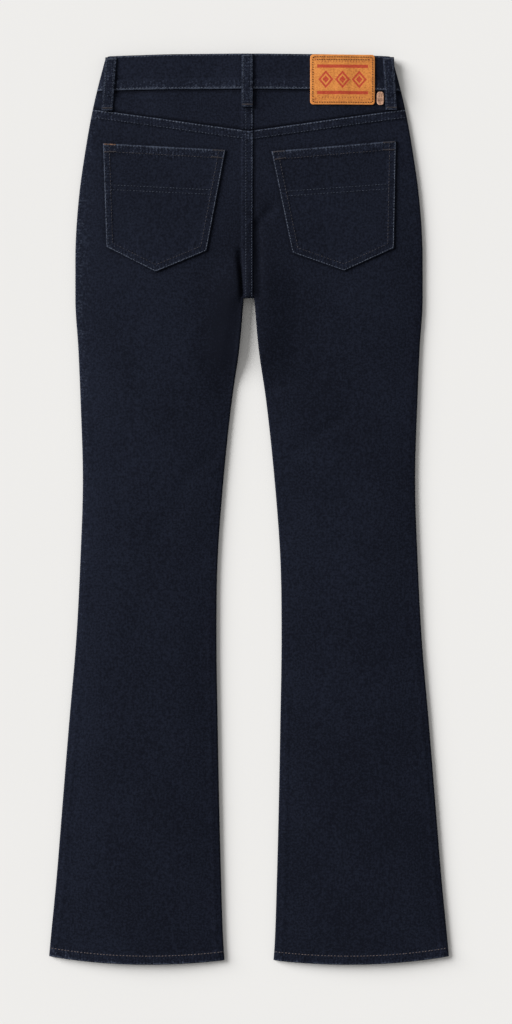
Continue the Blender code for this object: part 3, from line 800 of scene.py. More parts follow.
PATCH_MIDDLE = ((PATCH_LEFT + PATCH_RIGHT) / 2, LENGTH / 2 - (PATCH_TOP + PATCH_FOOT) / 2)
PRINT_EDGE = 0.22
DIAMOND_PITCH = 20.0
DIAMOND_HALF = (9.0, 10.6)
BAR_AT, BAR_HALF, BAR_REACH = 15.8, 1.9, 30.5
TICK_AT, TICK_PITCH, TICK_REACH = 21.6, 3.4, 27.0
PIN_AT = (32.2, 23.6)
INK = (0.43, 0.030, 0.018)
HIDE = ((0.0, (0.40, 0.125, 0.024)), (0.5, (0.62, 0.215, 0.043)), (1.0, (0.76, 0.30, 0.066)))


def patch_leather():
    """Tan leather with a printed row of plain diamonds between two bars, and pricked ticks."""
    shade = Shade("patch_leather", roughness=0.58, specular=0.3)
    middle = shade.scaled(shade.place, (1.0, 1.0, 1.0), shift=(-PATCH_MIDDLE[0], -PATCH_MIDDLE[1], 0.0))
    x, y = shade.axes(middle)
    out_x, out_y = shade.math("ABSOLUTE", x), shade.math("ABSOLUTE", y)

    def inside(value, limit):
        """1 where the value is under the limit, with a short soft edge."""
        return shade.remap(value, limit - PRINT_EDGE, limit + PRINT_EDGE, 1.0, 0.0)

    step_x = shade.math("PINGPONG", x, DIAMOND_PITCH / 2)
    half_x, half_y = DIAMOND_HALF
    diamond = shade.plus(shade.math("DIVIDE", step_x, half_x), shade.math("DIVIDE", out_y, half_y))
    ring = shade.math("ABSOLUTE", shade.math("SUBTRACT", diamond, 0.84))
    ring = shade.remap(ring, 0.14, 0.18, 1.0, 0.0)
    core = shade.remap(diamond, 0.40, 0.46, 1.0, 0.0)
    row = shade.times(shade.math("MAXIMUM", ring, core), inside(out_x, BAR_REACH))
    bar = shade.math("ABSOLUTE", shade.math("SUBTRACT", out_y, BAR_AT))
    bars = shade.times(inside(bar, BAR_HALF), inside(out_x, BAR_REACH))
    ink = shade.math("MAXIMUM", row, bars)
    rubbed = shade.remap(shade.noise(0.9, detail=4.0, roughness=0.7), 0.32, 0.54, 0.55, 1.0)
    ink = shade.times(ink, rubbed)

    tick_x = shade.math("PINGPONG", x, TICK_PITCH / 2)
    tick_y = shade.math("ABSOLUTE", shade.math("SUBTRACT", out_y, TICK_AT))
    tick = shade.times(inside(tick_x, 0.55), inside(tick_y, 0.9))
    tick = shade.times(tick, inside(out_x, TICK_REACH))
    pin_x, pin_y = shade.math("SUBTRACT", out_x, PIN_AT[0]), shade.math("SUBTRACT", out_y, PIN_AT[1])
    pin = shade.plus(shade.times(pin_x, pin_x), shade.times(pin_y, pin_y))
    tick = shade.math("MAXIMUM", tick, shade.remap(pin, 0.5, 1.4, 1.0, 0.0))

    grain = shade.noise(0.62, detail=5.0, roughness=0.7)
    cloudy = shade.noise(0.07, detail=3.0)
    grained, clouded = shade.remap(grain, 0.32, 0.68, 0.0, 0.75), shade.remap(cloudy, 0.3, 0.7, 0.0, 0.25)
    hide = shade.ramp(shade.plus(grained, clouded), *HIDE)
    hide = shade.mix(shade.times(tick, 0.7), hide, (0.30, 0.06, 0.02, 1.0))
    hide = shade.mix(shade.attribute("wear"), hide, (0.72, 0.30, 0.09, 1.0))
    shade.colour(shade.mix(shade.times(ink, 0.95), hide, (*INK, 1.0)))
    pressed = shade.math("MAXIMUM", shade.times(ink, 0.5), tick)
    shade.bump(shade.math("SUBTRACT", shade.times(grain, 0.5), pressed), 0.5, 0.35)
    return shade.material


def plain_leather(name, dark, light):
    shade = Shade(name, roughness=0.62, specular=0.3)
    grain = shade.noise(0.5, detail=5.0, roughness=0.7)
    tone = shade.math("MULTIPLY_ADD", shade.attribute("wear"), 0.5, shade.remap(grain, 0.36, 0.64))
    shade.colour(shade.ramp(tone, (0.0, dark), (1.0, light)))
    shade.bump(grain, 0.5, 0.3)
    return shade.material


def brass(name, dark, light):
    """Aged metal, brushed a little."""
    shade = Shade(name, roughness=0.36, specular=0.5, metallic=1.0)
    tarnish = shade.noise(0.6, detail=4.0)
    shade.colour(shade.ramp(shade.remap(tarnish, 0.35, 0.65), (0.0, dark), (1.0, light)))
    shade.bump(shade.noise(2.5, detail=2.0), 0.15, 0.1)
    return shade.material


def floor_finish():
    shade = Shade("pale_floor", roughness=0.95, specular=0.05)
    cloudy = shade.noise(0.004, detail=1.0)
    shade.colour(shade.ramp(cloudy, (0.0, (0.800, 0.792, 0.778)), (1.0, (0.812, 0.803, 0.788))))
    return shade.material


# ---- pieces --------------------------------------------------------------------------------------


def to_world(x, down, height):
    return np.stack([x * MM, (LENGTH / 2 - down) * MM, height * MM], axis=-1)


def grid_faces(rows, columns):
    corner = (np.arange(rows - 1)[:, None] * columns + np.arange(columns - 1)).reshape(-1)
    return np.stack([corner, corner + columns, corner + columns + 1, corner + 1], axis=-1)


def add_object(name, data):
    made = bpy.data.objects.new(name, data)
    bpy.context.scene.collection.objects.link(made)
    return made


def add_mesh(name, points, faces, finishes, smooth=True):
    """A new mesh object, in the scene's own frame."""
    mesh = bpy.data.meshes.new(name)
    mesh.from_pydata(points, [], faces)
    if smooth:
        mesh.shade_smooth()
    for finish in finishes:
        mesh.materials.append(finish)
    return add_object(name, mesh)


def wall(name, x, down, height, thickness, finishes, wear=0.0, faces_down=False, ribs=(0.0, 0.0)):
    """A thin closed wall over a grid of places, its outer face at the height, thickened inwards."""
    points = to_world(x, down, height)
    faces = grid_faces(*x.shape)
    along, over = points[-1, 0] - points[0, 0], points[0, -1] - points[0, 0]
    if (np.cross(along, over)[2] > 0) == faces_down:
        faces = faces[:, ::-1]
    piece = add_mesh(name, points.reshape(-1, 3), faces.tolist(), finishes)
    # The first attribute holds wear and painted light together: paler worn places, painted shade and a
    # painted highlight.
    for label, values in zip(("wear", "ribs_across", "ribs_down"), (wear, *ribs)):
        layer = piece.data.attributes.new(label, "FLOAT", "POINT")
        layer.data.foreach_set("value", np.broadcast_to(values, x.shape).ravel())
    group = piece.vertex_groups.new(name="thickness")
    thickness = np.broadcast_to(thickness, x.shape)
    levels = np.round(thickness / thickness.max(), 2)
    for level in np.unique(levels):
        group.add(np.flatnonzero(levels.ravel() == level).tolist(), float(level), "REPLACE")
    solidify = piece.modifiers.new("wall", "SOLIDIFY")
    solidify.thickness = thickness.max() * MM
    solidify.offset = -1.0
    solidify.vertex_group = "thickness"
    solidify.material_offset = len(finishes) - 1
    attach(piece, "root")
    return piece


def plan_area(x, down):
    """The area of a grid of places, laid flat, in square metres."""
    long_x, long_down = x[1:, 1:] - x[:-1, :-1], down[1:, 1:] - down[:-1, :-1]
    cross_x, cross_down = x[1:, :-1] - x[:-1, 1:], down[1:, :-1] - down[:-1, 1:]
    return float(np.abs(long_x * cross_down - long_down * cross_x).sum() / 2) * MM * MM


def lay_sheet(x, down, size=None):
    """Works out a piece's flat size, its own unless a size is given, and its plan area, and keeps neither."""
    width, length = size or (np.ptp(x), np.ptp(down))
    plan_area(x, down)


def cloth(
    name, x, down, height, thickness, wear=0.0, faces_down=False,
    finish="denim", size=None, ribs=(0.0, 0.0),
):
    """A denim piece that stands for the solid of its name."""
    finishes = (FINISH[finish], FINISH["inside"])
    piece = wall(name + "_cloth", x, down, height, thickness, finishes, wear, faces_down, ribs)
    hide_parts(name)
    lay_sheet(x, down, size)
    PIECES[name] = piece


# Columns across an edge, as distances from it. At a curled edge the first is the lip, straight below it.
CURLED = (
    *(0.0, 0.0, 0.12, 0.3, 0.55, 0.85, 1.2, 1.6, 2.0, CURL),
    *(3.0, 3.8, 4.8, 5.8, 6.8, 7.9, 9.0, 10.4, 12.0, 14.0),
)
LAPPED = (
    *(0.0, 0.12, 0.35, 0.7, 1.2, 2.0, 3.2, 5.0, 7.0, 9.2),
    *(11.2, 12.6, 13.3, 14.0, 14.8, 15.8, 16.8, 17.8, 19.2, 21.4),
)
PLAIN = (
    *(0.0, 0.12, 0.35, 0.6, 0.9, 1.3, 1.7, 2.1, 2.6, 3.2),
    *(3.9, 4.7, 5.6, 6.5, 7.4, 8.4, 9.3, 10.6, 12.2, 14.2),
)

Columns = namedtuple("Columns", "share offset is_lip")


def columns_across(low, between, high):
    """Columns of a panel: steps in from its low edge, even ones between, and steps in from its high edge."""
    middle = np.arange(1, between + 1) / (between + 1)
    share = np.concatenate([np.zeros(len(low)), middle, np.ones(len(high))])
    offset = np.concatenate([low, low[-1] * (1 - middle) - high[-1] * middle, -np.array(high)[::-1]])
    is_lip = np.zeros(len(share), bool)
    is_lip[0], is_lip[-1] = low is CURLED, high is CURLED
    return Columns(share, offset, is_lip)


def panel(sign, rows, columns_of, low, high, down_at):
    """A panel's places, and which of them are lips. low and high are its edges, outwards on its own side."""
    picked = [columns_of(row) for row in rows]
    share = np.array([columns.share for columns in picked])
    offset = np.array([columns.offset for columns in picked])
    is_lip = np.array([columns.is_lip for columns in picked])
    rows = np.array(rows, float)[:, None]
    down = down_at(rows, 0.0) + 0.0 * share
    for _ in range(4):
        x = sign * (low(down) + (high(down) - low(down)) * share + offset)
        down = down_at(rows, x)
    return x, down, is_lip


SIDES = ((-1, "left"), (1, "right"))
EDGE_STEPS = (0.0, 0.12, 0.35, 0.75, 1.3, 2.2)


def even(start, end, step):
    """Even places from the start up to the end, which is left out, about a step apart."""
    return np.linspace(start, end, max(int(round((end - start) / step)), 1), endpoint=False).tolist()


def leg_rows(top, step):
    """Heights of a leg panel's rows, close together at seams, crotch and hem."""
    near_crotch = (0.4, 0.8, 1.3, CURL, 3.4, 4.8, 6.8, 9.0, 12.0, 15.0)
    return (
        [top + out for out in EDGE_STEPS]
        + even(top + 3.4, top + FELLED_YOKE - 1.4, 1.4)
        + [top + FELLED_YOKE + out for out in (-1.2, -0.6, 0.0, 1.0)]
        + even(top + FELLED_YOKE + 2.6, CROTCH - 18.0, step)
        + [CROTCH - out for out in (18.0, *near_crotch[::-1])]
        + [CROTCH + out for out in (0.1, *near_crotch)]
        + even(CROTCH + 18.0, LENGTH - HEM - 4.0, step)
        + [LENGTH - HEM + out for out in (-4.0, -2.6, -1.4, -0.6, 0.0, 0.6, 1.2, 2.2)]
        + even(LENGTH - HEM + 3.4, LENGTH - 2.8, 1.4)
        + [LENGTH - out for out in EDGE_STEPS[::-1]]
    )


def leg_down(top_line):
    """How the rows bend: with the seam above them at the top, and with the hem's edge at the foot."""

    def down_at(row, x):
        at_top = (top_line(x) - top_line(0.0)) * (1 - ramp(row - top_line(0.0) - 14.0, 60.0))
        at_foot = (hem_edge(x) - LENGTH) * ramp(row - LENGTH + 104.0, 90.0)
        return row + at_top + at_foot

    return down_at


def down_between(top_line, foot_line):
    return lambda share, x: top_line(x) + (foot_line(x) - top_line(x)) * share


def middle_of_back(sign):
    """Where a back panel ends at the middle: the left one laps over the right."""
    return -FELLED_RIGHT if sign < 0 else FELLED_RIGHT + SEAM_GAP


def edge_wear_and_shade(distance):
    """The pale worn line that folded denim has just inside its edge, and painted shade under the edge itself.
    """
    return bell(distance - 1.1, 1.0) - 1.3 * bell(distance, 0.5)


def back_wall(name, x, down, is_lip, folded, wear=0.0, finish="denim"):
    """A back piece whose folded edges, given by the distance from the nearest, are rounded."""
    drop, thickness = nose(folded, back_thickness(x, down))
    height = np.where(is_lip, lip_height(x, down, BACK_LIP), back_outside(x, down, drop))
    # Wear pales the folded edges, the puckers' ridges and the thick seams; painted shade darkens under the
    # edges, in the puckers' hollows, in the folds of the tone patches and beside the seams; a painted
    # highlight pales the left outer edge.
    wear = wear + EDGE_WEAR_AND_SHADE * edge_wear_and_shade(folded) + RIPPLE_WEAR_AND_SHADE * seam_ripples(x, down)
    wear = wear + painted_shade_and_tone(x, down) + seam_tone(x, down)
    cloth(name, x, down, height, thickness, wear, finish=finish, ribs=seam_ribs(x, down))


def front_wall(name, x, down, is_lip, folded, finish="denim"):
    """A front piece, which lies on the floor."""
    drop, thickness = nose(folded, front_thickness(x, down))
    height = np.where(is_lip, lip_height(x, down, FRONT_LIP), front_outside(x, down, drop))
    # A pale worn line inside the folded edges, with painted shade under them.
    wear = EDGE_WEAR_AND_SHADE * edge_wear_and_shade(folded)
    cloth(name, x, down, height, thickness, wear, faces_down=True, finish=finish)


BACK_STEP = 3.2
FRONT_STEP = 6.0
# A distance at which a folded edge no longer shows.
UNFOLDED = 9.0


def back_legs():
    for sign, name in SIDES:
        above = columns_across(LAPPED if sign < 0 else PLAIN, 52, CURLED)
        below = columns_across(CURLED, 52, CURLED)
        x, down, is_lip = panel(
            sign,
            leg_rows(yoke_seam(0.0), BACK_STEP),
            lambda row: below if row > CROTCH else above,
            lambda down: np.where(down > CROTCH, inseam(down), middle_of_back(sign)),
            side,
            leg_down(yoke_seam),
        )
        below_yoke, above_hem = down - yoke_seam(x), hem_edge(x) - down
        folded = np.minimum(below_yoke, above_hem)
        if sign < 0:
            folded = np.where(down < CROTCH, np.minimum(folded, FELLED_RIGHT - x), folded)
        wear = YOKE_SEAM_WEAR * (below_yoke < FELLED_YOKE) + HEM_WEAR * (above_hem < HEM)
        wear = wear - pocket_shade(x, down)
        back_wall("back_leg_" + name, x, down, is_lip, folded, wear)


def yokes():
    for sign, name in SIDES:
        columns = columns_across(LAPPED if sign < 0 else PLAIN, 56, CURLED)
        x, down, is_lip = panel(
            sign,
            np.linspace(0.0, 1.0, 22),
            lambda row: columns,
            lambda down: middle_of_back(sign) + 0.0 * down,
            side,
            down_between(lambda x: waist_foot(x) + SEAM_GAP, lambda x: yoke_seam(x) - SEAM_GAP),
        )
        folded = FELLED_RIGHT - x if sign < 0 else UNFOLDED + 0.0 * x
        back_wall("yoke_" + name, x, down, is_lip, folded)


def share_rows(length, step):
    """Shares of a length, with rows close together near both ends."""
    near = [out / length for out in EDGE_STEPS]
    middle = even(near[-1] * 1.6, 1 - near[-1] * 1.6, step / length)
    return np.array(near + middle + [1 - out for out in near[::-1]])


def back_waistband():
    columns = columns_across(CURLED, 150, CURLED)
    x, down, is_lip = panel(
        1,
        share_rows(WAISTBAND, 1.3),
        lambda row: columns,
        lambda down: -side(down),
        side,
        down_between(waist_top, waist_foot),
    )
    folded = np.minimum(down - waist_top(x), waist_foot(x) - down)
    wear = WAIST_ALLOWANCE_WEAR * ramp(down - waist_foot(x) + WAIST_ALLOWANCE, 1.8)
    back_wall("waistband_back", x, down, is_lip, folded, wear, "denim_across")


def front_waistbands():
    """The left end laps over the middle, where the button holds it."""
    for sign, name in SIDES:
        columns = columns_across(PLAIN, 46, CURLED)
        x, down, is_lip = panel(
            sign,
            share_rows(WAISTBAND, 3.0),
            lambda row: columns,
            lambda down: sign * WAIST_LAP + SEAM_GAP / 2 + 0.0 * down,
            side,
            down_between(front_waist_top, front_waist_foot),
        )
        folded = np.minimum(down - front_waist_top(x), front_waist_foot(x) - down)
        folded = np.minimum(folded, sign * x - sign * WAIST_LAP - SEAM_GAP / 2)
        front_wall("waistband_front_" + name, x, down, is_lip, folded, "denim_across")


def front_edge(down):
    """The outer edge of a front leg: the pocket's mouth, then the side seam."""
    return np.where(down > MOUTH_FOOT - 0.1, side(down), mouth_edge(down, WAISTBAND))


def front_legs():
    above_mouth = columns_across(PLAIN, 24, PLAIN)
    above_crotch = columns_across(PLAIN, 24, CURLED)
    below_crotch = columns_across(CURLED, 24, CURLED)

    def columns_of(row):
        if row > CROTCH:
            return below_crotch
        return above_crotch if row > MOUTH_FOOT - 0.1 else above_mouth

    top = front_top(0.0)
    rows = [row for row in leg_rows(top, FRONT_STEP) if row < MOUTH_FOOT - 14.0]
    rows += [MOUTH_FOOT - out for out in (14.0, 10.0, 7.0, 5.0, 3.0, 1.6, 0.8, 0.3, 0.0)]
    rows += [MOUTH_FOOT + out for out in (2.0, 5.0)]
    rows += [row for row in leg_rows(top, FRONT_STEP) if row > MOUTH_FOOT + 8.0]
    for sign, name in SIDES:
        x, down, is_lip = panel(
            sign,
            rows,
            columns_of,
            lambda down: np.where(down > CROTCH, inseam(down), SEAM_GAP / 2),
            front_edge,
            leg_down(front_top),
        )
        mouth = np.where(down < MOUTH_FOOT, mouth_edge(down, WAISTBAND) - np.abs(x), UNFOLDED)
        folded = np.minimum(hem_edge(x) - down, np.maximum(mouth, 0.0))
        front_wall("front_leg_" + name, x, down, is_lip, folded)


def pocket_facings():
    """The facings that show in the front pockets' mouths."""
    at_seam = columns_across(PLAIN, 14, CURLED)
    below_mouth = columns_across(PLAIN, 14, PLAIN)
    foot = MOUTH_FOOT + FACING_LAP

    def inner_edge(down):
        rise = np.minimum((down - WAISTBAND) / (foot - WAISTBAND), 0.97)
        return side(down) - (MOUTH_WIDTH + FACING_LAP) * np.sqrt(1 - rise * rise)

    def outer_edge(down):
        return np.where(down < MOUTH_FOOT - 2.9, side(down), side(down) - 7.0)

    def outside(x, down):
        in_mouth = ramp(np.abs(x) - mouth_edge(down, WAISTBAND) - 9.0, 12.0) * (down < MOUTH_FOOT)
        flat = lift(x, down) + (DENIM + 2 * SEAM_GAP) * (1 - 0.9 * in_mouth)
        lip = lip_height(x, down, FRONT_LIP - LIP)
        return lip + (flat - lip) * curl(edge_distance(x, down))

    top = front_top(side(WAISTBAND))
    rows = even(top, MOUTH_FOOT - 3.0, 3.0) + [MOUTH_FOOT + out for out in (-3.0, -1.0, 1.0, 3.0, 5.0)]
    rows += even(MOUTH_FOOT + 7.0, foot - 4.0, 2.5) + [foot - 4.0]
    for sign, name in SIDES:
        x, down, is_lip = panel(
            sign,
            rows,
            lambda row: at_seam if row < MOUTH_FOOT - 2.9 else below_mouth,
            inner_edge,
            outer_edge,
            lambda row, x: row + (front_top(x) - top) * (1 - ramp(row - top, 40.0)),
        )
        height = np.where(is_lip, lip_height(x, down, FRONT_LIP), outside(x, down))
        cloth("pocket_facing_" + name, x, down, height, FACING, faces_down=True)


def outward(pocket):
    """The sign of x that points away from the middle."""
    return -1 if pocket.side == "left" else 1


def edge_lines(pocket):
    """Distances inside each sewn edge of a pocket, as functions of a place."""

    def distance_from(start, end):
        run_x, run_down = end[0] - start[0], end[1] - start[1]
        length = math.hypot(run_x, run_down) * -outward(pocket)
        return lambda x, down: ((down - start[1]) * run_x - (x - start[0]) * run_down) / length

    corners = pocket[1:]
    return [distance_from(start, end) for start, end in zip(corners, corners[1:])]


def inside_lines(lines, x, down):
    return np.minimum.reduce([line(x, down) for line in lines])


def pocket_shade(x, down):
    """What the shade round the pockets takes: most at their edges, and gone a few millimetres out."""
    most = 0.0 * x
    for pocket in POCKETS:
        (x0, down0), (x1, down1) = pocket.inner_top, pocket.outer_top
        from_top = down - down0 - (down1 - down0) * (x - x0) / (x1 - x0)
        inside = np.minimum(from_top, inside_lines(edge_lines(pocket), x, down))
        most = np.maximum(most, POCKET_SHADE * (1 - ramp(-inside, POCKET_SHADE_REACH)))
    return most


def hidden_rivets(pocket):
    """Where the rivets inside a pocket press through: above its tip and its inner lower corner."""
    (corner_x, corner_down), (tip_x, tip_down) = pocket.inner_foot, pocket.tip
    out, rise = RIVET_FROM_CORNER
    return (corner_x + outward(pocket) * out, corner_down + rise), (tip_x, tip_down - RIVET_ABOVE_TIP)


def pocket_outside(x, down, pocket, from_top):
    """The pocket's outer face: two plies along its turned edges and its top band, and ripples there."""
    inside = inside_lines(edge_lines(pocket), x, down)
    band = PLY * ramp(POCKET_BAND - from_top, PLY_STEP)
    turned = 0.5 * PLY * ramp(POCKET_TURNED - inside, 2.0)
    ripples = 0.24 * puckers(x + 1.7 * down, inside, POCKET_ROWS, 3.2, 50)
    ripples += 0.28 * puckers(x, from_top, POCKET_BAND_ROWS, 3.4, 60)
    form = ripples + 0.10 * mottle(x, down, 31.0, 40.0, 6)
    for rivet_x, rivet_down in hidden_rivets(pocket):
        out = np.hypot(x - rivet_x, down - rivet_down)
        ring = bell(out - RIVET_RADIUS, 1.5) - 0.4 * bell(out, 2.2)
        form += RIVET_RISE * ring
        ripples += 0.3 * ring
    thickness = DENIM + np.maximum(band, turned)
    outside = back_outside(x, down) + SEAM_GAP + thickness + form
    return outside, thickness, np.maximum(inside, 0.0), ripples


def pocket_grid(pocket):
    """A pocket's places, drawn down to its tip, and how far each lies below its top edge."""
    inner_top, inner_foot, tip, outer_foot, outer_top = pocket[1:]
    tip_share = (tip[0] - inner_foot[0]) / (outer_foot[0] - inner_foot[0])
    foot_line = inner_foot[1] + (outer_foot[1] - inner_foot[1]) * tip_share
    width = abs(outer_top[0] - inner_top[0])
    height = (inner_foot[1] + outer_foot[1] - inner_top[1] - outer_top[1]) / 2
    share = share_rows(width, 1.9)[None, :]
    along = share_rows(height, 1.9)[:, None]
    inner_x, inner_down = (a + (b - a) * along for a, b in zip(inner_top, inner_foot))
    outer_x, outer_down = (a + (b - a) * along for a, b in zip(outer_top, outer_foot))
    point_share = np.minimum(share / tip_share, (1 - share) / (1 - tip_share))
    x = inner_x + (outer_x - inner_x) * share
    down = inner_down + (outer_down - inner_down) * share + (tip[1] - foot_line) * point_share * along
    return x, down, along * height + 0.0 * share


def back_pockets():
    for pocket in POCKETS:
        x, down, from_top = pocket_grid(pocket)
        outside, thickness, inside, ripples = pocket_outside(x, down, pocket, from_top)
        folded = np.minimum(inside, from_top)
        drop, thickness = nose(folded, thickness)
        # Wear pales the edges and the ripples' ridges; painted shade darkens under the edges, in the ripples'
        # hollows and in the tone patches.
        wear = EDGE_WEAR_AND_SHADE * edge_wear_and_shade(folded) + POCKET_BAND_WEAR * (from_top < POCKET_BAND)
        wear = wear + RIPPLE_WEAR_AND_SHADE * ripples + painted_shade_and_tone(x, down)
        above_foot = inside_lines(edge_lines(pocket)[1:3], x, down)
        across = np.maximum(plateau(from_top - 6.4, 5.0, 3.0), 0.9 * plateau(above_foot - 5.5, 4.5, 4.0))
        ribs = across, 0.9 * plateau(inside - 5.0, 4.0, 4.0) * (1 - across)
        name, leg = "back_pocket_" + pocket.side, "back_leg_" + pocket.side
        cloth(name, x, down, outside - drop, thickness, wear, ribs=ribs)


def belt_loops():
    """Folded strips, sewn down at their ends, that stand a little off the waistband between them."""
    for loop in BACK_LOOPS + FRONT_LOOPS:
        is_front = loop in FRONT_LOOPS
        length = loop.foot_down - loop.top_down
        share = share_rows(length, 1.6)[:, None]
        out = share_rows(LOOP_WIDTH, 0.9)[None, :] - 0.5
        middle = loop.top_x + (loop.foot_x - loop.top_x) * share
        x = middle + out * LOOP_WIDTH
        down = loop.top_down + length * share + 0.0 * out
        from_side = LOOP_WIDTH * (0.5 - np.abs(out)) + 0.0 * share
        folded = np.minimum(from_side, length * np.minimum(share, 1 - share))
        drop, thickness = nose(folded, LOOP_THICKNESS)
        channel = 0.16 * bell(from_side - LOOP_ROW, 1.0)
        ripples = 0.16 * wander(down, 3.2, 70) * np.abs(out) * 2
        if is_front:
            height = drop + 0.5 * channel
        else:
            height = over_back(middle, down) + SEAM_GAP + LOOP_THICKNESS - drop - channel + ripples
            height = height + LOOP_ARCH * np.sin(math.pi * share) + 0.25 * (1 - (2 * out) ** 2)
        # Wear pales the loop and its edges; painted shade darkens under its edges and in the ripples'
        # hollows.
        wear = LOOP_EDGE_WEAR_AND_SHADE * edge_wear_and_shade(folded) + LOOP_WEAR + RIPPLE_WEAR_AND_SHADE * ripples
        size = LOOP_WIDTH, length
        cloth(loop.name, x, down, height, thickness, wear, is_front, size=size, ribs=LOOP_RIBS)


def leather_piece(name, left, right, top, foot, corner, slot):
    """A flat piece of leather with rounded corners and a softened edge, bent over what it lies on."""
    columns = share_rows(right - left, 1.3)[None, :] * 2 - 1
    down = top + (foot - top) * share_rows(foot - top, 1.1)[:, None] + 0.0 * columns
    to_end = np.minimum(down - top, foot - down)
    half = (right - left) / 2 - round_corner(corner - np.minimum(to_end, corner), corner)
    x = (left + right) / 2 + half * columns
    inside = np.minimum(to_end, half * (1 - np.abs(columns)))
    drop = round_corner(LEATHER_EDGE - np.minimum(inside, LEATHER_EDGE), LEATHER_EDGE)
    height = bridged(x, down) + SEAM_GAP + LEATHER - drop + 0.10 * mottle(x, down, 19.0, 23.0, 8)
    thickness = np.maximum(LEATHER - drop, 0.3)
    wear = 0.55 * bell(inside, 0.8)
    piece = wall(name + "_hide", x, down, height, thickness, (FINISH[slot],), wear)
    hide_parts(name)
    PIECES[name] = piece


def ring_faces(levels, sides):
    """The faces between rings of so many points, one ring after the other."""
    around = [(k, (k + 1) % sides) for k in range(sides)]
    return [
        (first + a, first + b, first + b + sides, first + a + sides)
        for first in range(0, (levels - 1) * sides, sides)
        for a, b in around
    ]


SQUARE = ((-0.5, -0.5), (0.5, -0.5), (0.5, 0.5), (-0.5, 0.5))
BOX_FACES = ((0, 3, 2, 1), (4, 5, 6, 7), (0, 1, 5, 4), (1, 2, 6, 5), (2, 3, 7, 6), (3, 0, 4, 7))


def closed_zip():
    """The zip on the inner face of the fly: a woven tape, and two rows of teeth that lock into each other."""
    start = front_top(0.0) + 1.0
    down = np.array(even(start, ZIP_FOOT, 3.0) + [ZIP_FOOT])[:, None]
    half = ZIP_HALF_WIDTH - round_corner(down - ZIP_FOOT + 9.0, 9.0)
    x = half * np.linspace(-1.0, 1.0, 21)[None, :]
    down = down + 0.0 * x
    height = lift(x, down) + DENIM + SEAM_GAP
    tape = wall("zip_tape", x, down, height, ZIP_TAPE, (FINISH["tape"],), faces_down=True)
    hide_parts("zip")
    lay_sheet(x, down)

    corners = np.array([(a, b, c) for c in (0, 1) for a, b in SQUARE]) * TOOTH * MM
    points, faces = [], []
    for down in even(start + 3.0, ZIP_FOOT - 8.0, TOOTH_PITCH):
        for x, at in ((-0.42 * TOOTH[0], down), (0.42 * TOOTH[0], down + 0.5 * TOOTH_PITCH)):
            rise = lift(np.array(x), np.array(at)) + DENIM + SEAM_GAP + ZIP_TAPE
            faces += [tuple(len(points) + k for k in face) for face in BOX_FACES]
            points += list(to_world(x, at, rise) + corners)
    teeth = add_mesh("zip_teeth", points, faces, [FINISH["metal"]], smooth=False)
    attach(teeth, "root")


BUTTON_RIM = 0.6
BUTTON_SIDES = 48
# Radius and height, from the end of the shank over the cap's back and rim to its dished face.
BUTTON_PROFILE = (
    (0.0, BUTTON_DEPTH),
    (BUTTON_SHANK, BUTTON_DEPTH),
    (BUTTON_SHANK, BUTTON_CAP),
    (BUTTON_RADIUS - BUTTON_RIM, BUTTON_CAP),
    (BUTTON_RADIUS - 0.15, BUTTON_CAP - 0.2),
    (BUTTON_RADIUS, BUTTON_CAP - BUTTON_RIM),
    (BUTTON_RADIUS, BUTTON_RIM),
    (BUTTON_RADIUS - 0.2, 0.15),
    (BUTTON_RADIUS - BUTTON_RIM, 0.0),
    (BUTTON_RADIUS - 1.5, 0.05),
    (BUTTON_RADIUS - 2.1, 0.5),
    (0.0, 0.35),
)


def waist_button():
    """A turned button under the waistband: a dished cap with a raised rim, on a short shank."""
    turn = np.linspace(0.0, 2 * math.pi, BUTTON_SIDES, endpoint=False)
    rings = [
        to_world(out * np.cos(turn), BUTTON_DOWN + out * np.sin(turn), height + 0.0 * turn)
        for out, height in BUTTON_PROFILE
    ]
    faces = ring_faces(len(rings), BUTTON_SIDES)
    piece = add_mesh("waist_button_cap", np.concatenate(rings), faces, [FINISH["metal"]])
    weld = piece.modifiers.new("weld", "WELD")
    weld.merge_threshold = 0.00001
    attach(piece, "root")
    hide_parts("waist_button")


# ---- threads -------------------------------------------------------------------------------------


class Surface:
    """The outer face of some pieces, found by looking straight down on them, or straight up."""

    def __init__(self, names, from_below=False):
        graph = bpy.context.evaluated_depsgraph_get()
        self.trees = [BVHTree.FromObject(PIECES[name], graph) for name in names]
        self.start, self.look = (-0.05, 1.0) if from_below else (0.05, -1.0)

    def at(self, x, down):
        """The nearest point and its normal, or None beyond the pieces' edges."""
        start = Vector((x * MM, (LENGTH / 2 - down) * MM, self.start))
        hits = [tree.ray_cast(start, Vector((0.0, 0.0, self.look))) for tree in self.trees]
        hits = [hit for hit in hits if hit[0] is not None]
        return min(hits, key=lambda hit: hit[3])[:2] if hits else None


